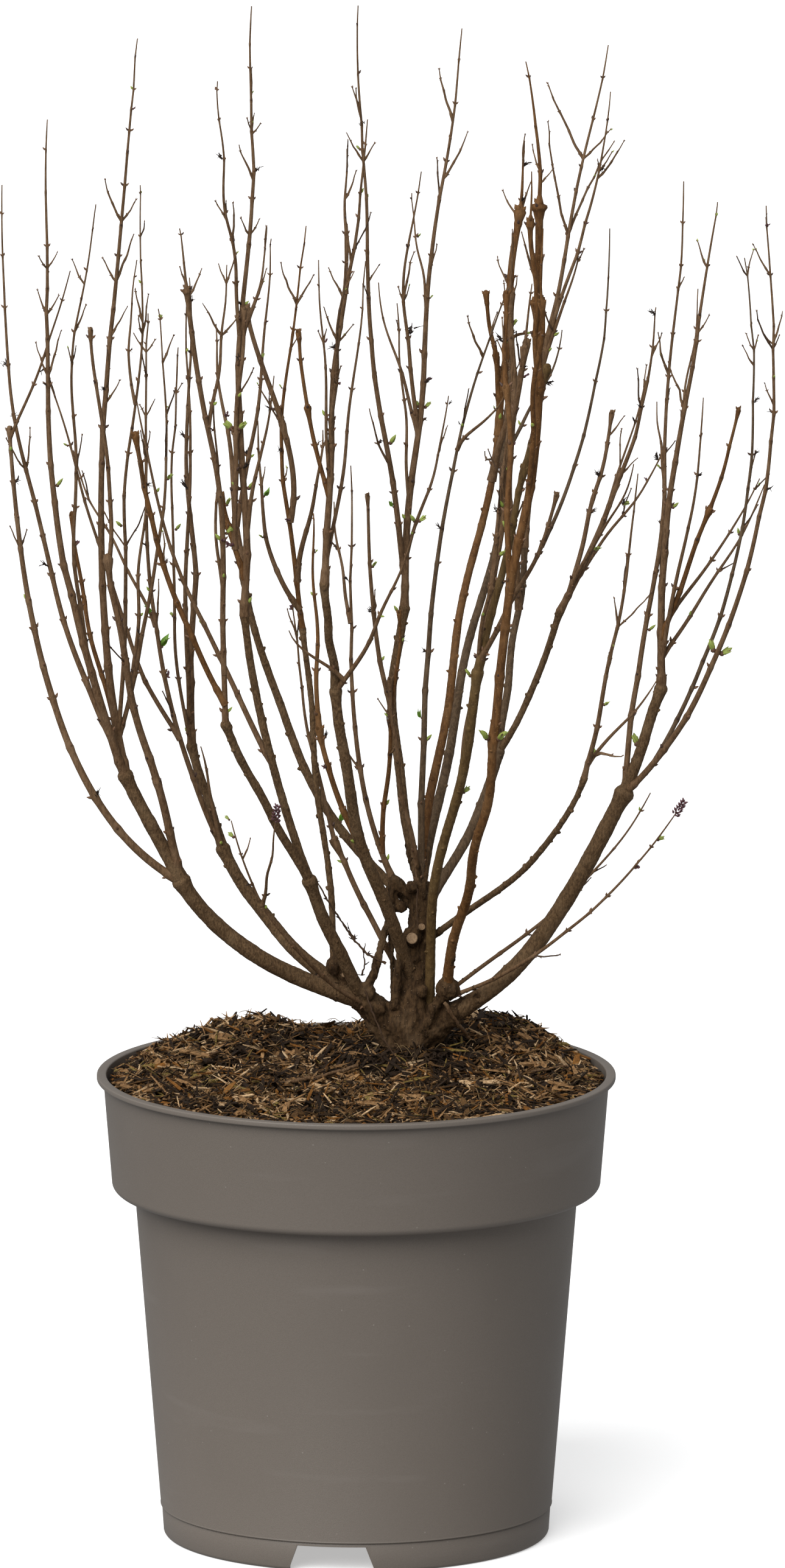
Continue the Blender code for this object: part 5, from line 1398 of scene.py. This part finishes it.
def makeChips():
    shapes = [chipShape(*row, seed) for seed, row in enumerate(chipBends, 1)]
    tones = list(chipTones)
    placed = {tone: [] for tone in tones}
    darkCrumbs = []
    rng = random.Random(seeds["chips"])
    for kind, plan in chipKinds.items():
        for _ in range(plan["count"]):
            length = rng.uniform(*plan["length"])
            width = rng.uniform(*plan["width"])
            reach = (mulchPlan["edge"] - 0.35 * length) * math.sqrt(rng.random())
            turn = rng.uniform(0.0, math.tau)
            x, y = reach * math.cos(turn), reach * math.sin(turn)
            away = math.hypot(x - trunkFoot.x, y - trunkFoot.y)
            if away < chipLay["clear"]:
                continue
            slopeX = (bedHeight(x + 2, y) - bedHeight(x - 2, y)) / 4
            slopeY = (bedHeight(x, y + 2) - bedHeight(x, y - 2)) / 4
            lie = Vector((-slopeX, -slopeY, 1.0)).normalized()
            tilt = math.radians(rng.gauss(0.0, plan["tilt"] / 2))
            roll = math.radians(rng.gauss(0.0, chipLay["roll"]))
            yaw = rng.uniform(0.0, math.tau)
            rise = rng.uniform(*chipLay["rise"]) + 0.25 * abs(math.sin(tilt)) * length
            if reach > mulchPlan["edge"] - chipLay["rimBand"]:
                rise = min(rise, chipLay["rimRise"])
                tilt *= chipLay["rimTilt"]
            middle = Vector((x, y, bedHeight(x, y) - chipLay["sunk"] + rise))
            size = Vector((length, width, width * plan["thick"])) * mm
            lay = (standing(middle * mm, lie) @ Matrix.Rotation(yaw, 4, "Z")
                   @ Matrix.Rotation(tilt, 4, "Y") @ Matrix.Rotation(roll, 4, "X")
                   @ Matrix.Diagonal((*size, 1.0)))
            ends = [lay @ Vector((s, 0.0, 0.0)) for s in (-0.5, 0.5)]
            if max(math.hypot(e.x, e.y) for e in ends) > (mulchPlan["edge"] - 0.5) * mm:
                continue
            # more tan, pale and olive ones in patches and towards the sides
            shares = dict(zip(tones, toneShares[kind]))
            patch = noise.noise(Vector((x, y, 0.0)) / chipLay["patch"] + Vector((3.1, 0.0, 0.0)))
            paler = 0.85 + 1.5 * patch + 0.7 * abs(x) / 120.0
            for tone in ("tan", "pale", "olive"):
                shares[tone] *= max(0.15, paler)
            if away < chipLay["darkRound"]:
                shares["dark"] *= chipLay["darker"]
            tone = rng.choices(tones, weights=list(shares.values()))[0]
            number = rng.randrange(3) if kind == "crumb" else rng.randrange(len(shapes))
            pile = darkCrumbs if (tone, kind) == ("dark", "crumb") else placed[tone]
            pile.append((number, lay))
    for x, y, yaw, length, width, tone in markedChips:
        middle = Vector((x, y, bedHeight(x, y) + 0.9))
        size = Vector((length, width, width * chipKinds["chip"]["thick"])) * mm
        lay = (Matrix.Translation(middle * mm) @ Matrix.Rotation(yaw, 4, "Z")
               @ Matrix.Rotation(0.1, 4, "Y") @ Matrix.Rotation(rng.gauss(0.35, 0.1), 4, "X")
               @ Matrix.Diagonal((*size, 1.0)))
        placed[tone].append((rng.randrange(2), lay))
    for tone in tones:
        pieceName = f"{tone}Chips"
        material = mottledMaterial(pieceName, {**chipTones[tone], **chipGrain})
        newPiece(pieceName, joinCopies(pieceName, shapes, placed[tone]), material)
        if tone == "dark":
            crumbs = joinCopies("darkCrumbs", shapes, darkCrumbs)
            newPiece("darkCrumbs", crumbs, material)
        print(f"{tone} chips:", len(placed[tone]))


makeChips()


# sticks on the mulch, dead twigs at the trunk and stray fibres
# each stick by its points and its two widths
fallenSticks = [([(47.5, 4.0, 290.5), (54.0, 9.0, 279.5), (61.5, 27.0, 266.0)], 2.2, 1.7),
                ([(-46.7, -45.0, 255.4), (-22.0, -30.0, 256.6), (0.3, -11.0, 259.0)], 2.4, 1.8),
                ([(84.0, -18.0, 255.6), (99.0, -10.0, 256.4), (114.0, 4.0, 256.2)], 1.8, 1.2),
                ([(-96.0, 34.0, 257.0), (-80.0, 45.0, 259.5), (-66.0, 52.0, 258.0)], 1.7, 1.2)]
deadTwigs = [([(4.9, 5.0, 297.0), (9.0, 3.0, 285.0), (15.5, 2.0, 270.0), (24.6, 0.5, 257.0)],
              1.1, 0.8),
             ([(-21.0, 6.0, 357.0), (-16.0, 5.0, 347.5), (-9.0, 5.0, 337.0), (-1.5, 5.0, 325.5),
               (6.0, 4.0, 317.5), (16.0, 6.0, 312.0)], 0.9, 1.5),
             ([(3.0, 9.0, 305.0), (4.6, 8.0, 311.0), (4.0, 7.5, 317.0), (5.0, 7.0, 323.0)],
              1.1, 0.5),
             ([(-1.0, 5.0, 326.0), (-4.0, 4.0, 331.0), (-5.0, 3.5, 335.0)], 0.7, 0.4),
             ([(33.0, 11.0, 352.0), (32.5, 10.0, 341.0), (33.4, 9.5, 330.0)], 0.9, 0.5)]
fibreTone = {"base": (0.200, 0.130, 0.062), "dark": (0.060, 0.036, 0.016),
             "light": (0.400, 0.290, 0.160), "grain": 900.0, "streak": 0.5, "flecks": 0.0,
             "smooth": 0.7, "rough": 0.95, "bump": 0.3}
fibrePlan = {"count": 260, "length": (5.0, 13.0), "lift": (2.0, 7.0), "width": 0.4, "tip": 0.16}


def waveredStrand(points, wide, narrow, rng, step=1.6, waver=0.22):
    spots = np.array(points)
    along = distancesAlong(spots)
    stations = np.linspace(0.0, along[-1], max(3, int(along[-1] / step)))
    line = [[value + rng.gauss(0, waver) for value in between(at, along, spots)] for at in stations]
    widths = [wide + (narrow - wide) * at / along[-1] for at in stations]
    return line, [width / 2 * rng.uniform(0.85, 1.2) for width in widths]


def makeLitter():
    rng = random.Random(seeds["litter"])
    lying = [waveredStrand(*row, rng) for row in fallenSticks]
    dead = [waveredStrand(*row, rng, 1.2, 0.14) for row in deadTwigs]
    for name, strands, tint, slotName in (("fallenSticks", lying, "brown", "wood_chips"),
                                          ("deadTwigs", dead, "thin", "bark")):
        mesh = sweptMesh(name, strands, 8)
        roughen(mesh, [(0.16, 2.0, 2.5)], seeds["litter"] + 1)
        shadeSmooth(mesh)
        newPiece(name, mesh, barks[tint])
    fibres = []
    for _ in range(fibrePlan["count"]):
        turn = rng.uniform(0.0, math.tau)
        reach = mulchPlan["edge"] * math.sqrt(rng.uniform(0.02, 0.93))
        x, y = reach * math.cos(turn), reach * math.sin(turn)
        foot = Vector((x, y, bedHeight(x, y) - 1.5))
        way = Vector((rng.gauss(0, 1), rng.gauss(0, 1), 0.0)).normalized()
        length = rng.uniform(*fibrePlan["length"])
        lift = rng.uniform(*fibrePlan["lift"])
        points = [foot[:]]
        for share in (0.3, 0.6, 0.85, 1.0):
            lifted = foot + way * length * share + up * lift * math.sin(share * 2.3)
            if math.hypot(lifted.x, lifted.y) < mulchPlan["edge"] - 1.0:
                points.append(lifted[:])
        if len(points) > 2:
            radii = [fibrePlan["width"] / 2] * (len(points) - 1) + [fibrePlan["tip"] / 2]
            fibres.append((points, radii))
    mesh = sweptMesh("fibres", fibres, 4)
    shadeSmooth(mesh)
    newPiece("fibres", mesh, mottledMaterial("fibreSkin", fibreTone))


makeLitter()
print("litter laid")


# buds
budColours = {"brown": (0.150, 0.078, 0.040), "dusk": (0.070, 0.038, 0.026),
              "green": (0.260, 0.330, 0.060), "lime": (0.360, 0.420, 0.085)}
budShares = {"brown": 0.70, "dusk": 0.25, "green": 0.04, "lime": 0.01}


def plainMaterial(name, colour, roughness, gloss=0.35):
    material = bpy.data.materials.new(name)
    material.use_nodes = True
    shader = material.node_tree.nodes["Principled BSDF"]
    shader.inputs["Base Color"].default_value = (*colour, 1.0)
    shader.inputs["Roughness"].default_value = roughness
    shader.inputs["Specular IOR Level"].default_value = gloss
    return material


def budShape():
    # a pointed egg of unit width standing on its foot, height 1
    bm = bmesh.new()
    bmesh.ops.create_uvsphere(bm, u_segments=6, v_segments=5, radius=0.5)
    for v in bm.verts:
        share = v.co.z + 0.5
        slim = 1.0 - 0.62 * max(0.0, share - 0.42) / 0.58
        v.co.x *= slim
        v.co.y *= slim
        v.co.z = share
    bmesh.ops.recalc_face_normals(bm, faces=bm.faces)
    return meshFrom(bm, "budShape")


def makeBuds():
    shape = budShape()
    rng = random.Random(seeds["buds"])
    placed = {name: [] for name in budColours}
    for spot, lean, width, height in buds:
        name = rng.choices(list(budShares), weights=list(budShares.values()))[0]
        if name in ("green", "lime"):
            width, height = width * 1.25, height * 1.25
        size = (width * 1.25 * mm, width * 1.25 * mm, height * mm)
        placed[name].append((0, facing(spot * mm, lean, rng.uniform(0, math.tau), size)))
    for name, places in placed.items():
        mesh = joinCopies(f"{name}Buds", [shape], places)
        shadeSmooth(mesh)
        newPiece(f"{name}Buds", mesh, plainMaterial(f"{name}Bud", budColours[name], 0.5))


makeBuds()
print("buds set:", len(buds))


# young leaves, swollen buds, blossom buds and dried bits, each at its own node
# stem, height, kind, side (-1 left, 1 right, 0 both), size
sproutSpots = [
    ("bough_back_left", 378, "leaf", 1, 1.0), ("twigs_left_back", 478, "leaf", 1, 1.15),
    ("twigs_left_back", 497, "leaf", -1, 0.9), ("twigs_left_back", 462, "purple", 1, 1.0),
    ("bud_spray", 608, "cluster", 0, 1.35), ("twigs_top_left_2", 566, "green", 1, 1.2),
    ("twigs_top_left", 575, "green", 0, 1.35), ("twigs_left_slender_2", 560, "leaf", 1, 0.8),
    ("bough_front_right_outer", 452, "green", 0, 1.9),
    ("twigs_right_fan_3", 563, "cluster", 1, 0.9),
    ("twigs_front_low", 572, "green", 0, 1.2), ("twigs_top_centre_2", 586, "green", 1, 1.4),
    ("bough_right_low_upper", 430, "green", -1, 1.8), ("twigs_left_inner_4", 581, "green", 1, 1.1),
    ("twigs_left_outer", 579, "green", 1, 1.3), ("twigs_left_knuckle_2", 566, "dry", -1, 1.0),
    ("twigs_top_centre_3", 645, "dry", 1, 1.2), ("bough_front_right", 411, "green", 1, 1.2),
    ("twigs_right_rim", 487, "green", 0, 1.7), ("twigs_right_fan", 533, "green", 1, 1.3),
    ("twigs_right_fan_4", 574, "dry", -1, 1.0), ("twigs_top_left_2", 545, "purple", -1, 1.1),
    ("twigs_top_right", 604, "purple", 1, 1.2), ("twigs_top_centre", 604, "green", 0, 1.1),
    ("twigs_top_centre", 618, "purple", 1, 1.0), ("twigs_right_column", 442, "leaf", -1, 0.8),
    ("bough_front_right", 478, "green", -1, 1.2), ("bough_centre", 492, "green", -1, 1.0),
    ("twigs_left_steep", 560, "green", 1, 1.0), ("twigs_right_middle", 492, "green", 1, 1.1),
    ("twigs_low_left", 392, "green", -1, 1.0), ("twigs_low_left", 404, "green", -1, 0.8),
    ("twigs_low_left_2", 406, "bloom", 0, 1.0), ("twigs_low_right_front", 405, "bloom", 0, 1.0),
    ("twigs_low_right_front", 388, "green", 1, 1.0),
    ("twigs_low_right_front", 372, "purple", 1, 0.8),
    ("column_spray_3", 664, "dry", -1, 1.0), ("column_spray_5", 640, "purple", 1, 0.9),
    ("twigs_back", 632, "green", 1, 1.2), ("twigs_back_2", 600, "dry", 1, 1.0),
    ("twigs_front_right", 560, "green", -1, 1.2), ("column_spray_7", 548, "green", 1, 1.2),
    ("twigs_left_rim_2", 640, "dry", 1, 0.8), ("twigs_right_rim_2", 620, "dry", 1, 0.7),
    ("twigs_left_outer_2", 530, "dry", -1, 0.9), ("twigs_right_slender", 470, "green", 1, 1.0),
    ("twigs_back_left", 590, "purple", 1, 0.9), ("twigs_left_inner_3", 560, "green", -1, 1.0),
    ("twigs_right_knuckle", 560, "green", 1, 1.0), ("twigs_right_knuckle_4", 540, "green", -1, 0.9),
    ("twigs_left_outer_3", 545, "purple", 1, 0.9), ("centre_spray", 520, "leaf", -1, 0.7),
    ("centre_spray_4", 520, "green", 1, 1.0), ("inner_spray", 540, "green", 1, 1.0),
    ("twigs_back_3", 540, "green", -1, 1.0), ("twigs_top_right_2", 640, "green", 1, 1.0),
]
sproutColours = {"leafGreen": (0.150, 0.290, 0.035), "budGreen": (0.270, 0.330, 0.070),
                 "scaleBrown": (0.110, 0.055, 0.032), "purpleBud": (0.110, 0.048, 0.055),
                 "driedDark": (0.030, 0.019, 0.014)}
sproutRoughness = {"leafGreen": 0.5, "budGreen": 0.5, "scaleBrown": 0.6, "purpleBud": 0.55,
                   "driedDark": 0.9}
sproutParts = {name: [] for name in sproutColours}
# last year's dry bits and small swollen buds, strewn over the finer stems
strewnPlan = {"chance": 0.16, "from": 0.2, "kinds": {"dry": 0.52, "purple": 0.26, "green": 0.22},
              "size": (0.45, 0.85)}
mossPlan = {"spot": (43.0, 26.0), "spread": (2.2, 2.0), "count": 16, "size": (2.2, 4.2)}


def leafShape():
    # a small pointed leaf folded along its midrib, foot at the origin, tip along Z
    bm = bmesh.new()
    bmesh.ops.create_grid(bm, x_segments=4, y_segments=6, size=0.5)
    for v in bm.verts:
        share = v.co.y + 0.5
        bulge = math.sin(math.pi * min(1.0, share * 1.02) ** 0.72) ** 0.9
        half = 0.341 * bulge * (1.0 - 0.25 * share)
        across = v.co.x * 2 * max(0.02, half)
        v.co = Vector((across, -abs(across) * 0.55 + 0.20 * share ** 2, share))
    bmesh.ops.solidify(bm, geom=bm.faces[:], thickness=0.03)
    bmesh.ops.recalc_face_normals(bm, faces=bm.faces)
    return meshFrom(bm, "leafShape")


def twistedShape():
    # a curled dry scrap
    bm = bmesh.new()
    bmesh.ops.create_cube(bm, size=1.0)
    along = [e for e in bm.edges if abs(e.verts[0].co.z - e.verts[1].co.z) > 0.5]
    bmesh.ops.subdivide_edges(bm, edges=along, cuts=3, use_grid_fill=True)
    for v in bm.verts:
        share = v.co.z + 0.5
        turned = Matrix.Rotation(share * 2.4, 3, "Z") @ Vector((v.co.x, v.co.y * 0.4, 0.0))
        slim = 1.0 - 0.6 * share
        v.co = Vector((turned.x * slim + 0.7 * share ** 2, turned.y * slim, share))
    bmesh.ops.recalc_face_normals(bm, faces=bm.faces)
    return meshFrom(bm, "twistedShape")


def addPart(kind, shapeNumber, spot, way, turn, size):
    scaled = tuple(v * mm for v in size)
    sproutParts[kind].append((shapeNumber, facing(spot * mm, way.normalized(), turn, scaled)))


def addSprout(root, direction, out, kind, size, rng):
    # shape 0 is the bud, 1 the leaf, 2 the dry scrap
    way = (direction + out * 0.9).normalized()
    side = direction.cross(out).normalized()

    def part(name, shapeNumber, spot, lean, wide, deep, high, turn=None):
        if turn is None:
            turn = rng.uniform(0, 6)
        addPart(name, shapeNumber, spot, lean, turn, (wide * size, deep * size, high * size))

    if kind in ("green", "cluster"):
        count = 1 if kind == "green" else 3
        for number in range(count):
            lean = way + side * rng.gauss(0, 0.5 if count > 1 else 0.1) + out * 0.3 * number
            foot = root + out * 0.5
            part("scaleBrown", 0, foot, lean, 2.0, 2.0, 2.3)
            part("budGreen", 0, foot + way * 0.7, lean, 2.2, 1.8, 4.4)
            for spread in (-0.5, 0.5):
                part("budGreen", 0, foot + way * 0.9, lean + side * spread, 1.1, 1.1, 3.9)
            part("scaleBrown", 0, foot + way * 1.1, lean - side * 0.3, 0.9, 0.9, 3.6)
    if kind == "leaf":
        part("scaleBrown", 0, root, way, 1.5, 1.5, 2.0, 0.0)
        for spread in (-0.75, 0.0, 0.7):
            length = rng.uniform(4.8, 7.4)
            lean = way + side * spread + up * 0.35
            part("leafGreen", 1, root + way * 1.2, lean, length * 0.8, length * 0.8, length)
    if kind == "purple":
        for _ in range(7):
            lean = way + side * rng.gauss(0, 0.5) + direction * rng.gauss(0, 0.4)
            spot = root + way * rng.uniform(0.3, 2.6) * size + side * rng.gauss(0, 0.8) * size
            part("purpleBud", 0, spot, lean, 1.3, 1.3, 2.1)
        part("scaleBrown", 0, root, way, 1.8, 1.8, 3.0, 0.0)
    if kind == "bloom":
        count = 36
        for number in range(count):
            share = number / (count - 1)
            turn = number * 2.4
            away = outFrom(direction, turn)
            rise = share * 9.5 - 1.5
            spot = root + (direction * rise + away * (1.15 - 0.75 * share)) * size
            part("purpleBud", 0, spot, away + direction * 0.8, 1.25, 1.25, 2.3, turn)
    if kind == "dry":
        for _ in range(11):
            lean = way + side * rng.gauss(0, 0.8) + direction * rng.gauss(0, 0.6)
            spot = root + way * rng.uniform(0.0, 3.4) * size + side * rng.gauss(0, 0.9) * size
            part("driedDark", 2, spot, lean, 0.8, 0.8, rng.uniform(2.0, 4.6))
        for _ in range(4):
            spot = root + way * rng.uniform(0.5, 2.5) * size + side * rng.gauss(0, 0.9) * size
            part("driedDark", 0, spot, way, 1.1, 1.1, 1.5)


def makeSprouts():
    rng = random.Random(seeds["sprouts"])
    sides = {1: (0.0,), -1: (math.pi,), 0: (0.0, math.pi)}
    for name, height, kind, side, size in sproutSpots:
        grown = grownStems[name]
        if kind == "bloom":
            # a flower head stands on its shoot's tip
            middle, direction, radius = spotOn(grown, grown["total"] - 1.0)
            out = outFrom(direction, rng.gauss(0, 0.5))
            addSprout(middle, direction, out, kind, size, rng)
            continue
        middle, direction, radius = spotOn(grown, distanceAt(grown, height))
        for turn in sides[side]:
            out = outFrom(direction, turn + rng.gauss(0, 0.5))
            addSprout(middle + out * radius * 0.8, direction, out, kind, size, rng)
    kinds = strewnPlan["kinds"]
    for stem in leaders + fineStems:
        grown = grownStems[stem.name]
        for node in grown["nodes"]:
            if node < strewnPlan["from"] * grown["total"] or rng.random() > strewnPlan["chance"]:
                continue
            middle, direction, radius = spotOn(grown, node)
            kind = rng.choices(list(kinds), weights=list(kinds.values()))[0]
            out = outFrom(direction, rng.choice((0.0, math.pi)) + rng.gauss(0, 0.8))
            if insideBox(middle + out * 5.0, 3.0):
                root = middle + out * radius * 0.8
                addSprout(root, direction, out, kind, rng.uniform(*strewnPlan["size"]), rng)
    # dry scraps on the dead twigs, and the tuft of moss on the mulch
    for points, _, _ in deadTwigs[1:4]:
        for spot in points[:-1]:
            for _ in range(2):
                out = Vector((rng.gauss(0, 1), rng.gauss(0, 0.6), rng.uniform(0.2, 1.0)))
                out.normalize()
                addPart("driedDark", rng.choice((0, 2)), Vector(spot) + out * 0.4, out,
                        rng.uniform(0, 6), (0.9, 0.9, rng.uniform(1.6, 2.8)))
    for _ in range(mossPlan["count"]):
        x, y = [rng.gauss(0, spread) + middle
                for spread, middle in zip(mossPlan["spread"], mossPlan["spot"])]
        spot = Vector((x, y, bedHeight(x, y) + 0.6))
        out = Vector((rng.gauss(0, 0.7), rng.gauss(0, 0.7), 1.0)).normalized()
        size = rng.uniform(*mossPlan["size"])
        addPart("leafGreen", 1, spot, out, rng.uniform(0, 6), (size * 0.8, size * 0.8, size))
    shapes = [budShape(), leafShape(), twistedShape()]
    for kind, places in sproutParts.items():
        mesh = joinCopies(kind, shapes, places)
        shadeSmooth(mesh)
        skin = plainMaterial(f"{kind}Skin", sproutColours[kind], sproutRoughness[kind], 0.3)
        newPiece(kind, mesh, skin)


makeSprouts()
print("sprouts set:", len(sproutSpots))


# pale sawn faces on the stool's stubs
cutFinish = {"base": (0.360, 0.235, 0.135), "dark": (0.150, 0.088, 0.045),
             "light": (0.520, 0.380, 0.240), "grain": 900.0, "streak": 1.0, "flecks": 0.2,
             "smooth": 0.7, "rough": 0.95, "bump": 0.8}


def makeCutFaces():
    bm = bmesh.new()
    for foot, way, radius, length in scars:
        out = Vector(way).normalized()
        disc = bmesh.ops.create_cone(bm, cap_ends=True, segments=20, radius1=radius * mm,
                                     radius2=radius * 0.88 * mm, depth=0.7 * mm)
        lay = standing((Vector(foot) + out * (length + 0.1)) * mm, out)
        bmesh.ops.transform(bm, matrix=lay, verts=disc["verts"])
    mesh = meshFrom(bm, "cutFaces")
    shadeSmooth(mesh, 40.0)
    newPiece("cutFaces", mesh, mottledMaterial("sawnWood", cutFinish))


makeCutFaces()
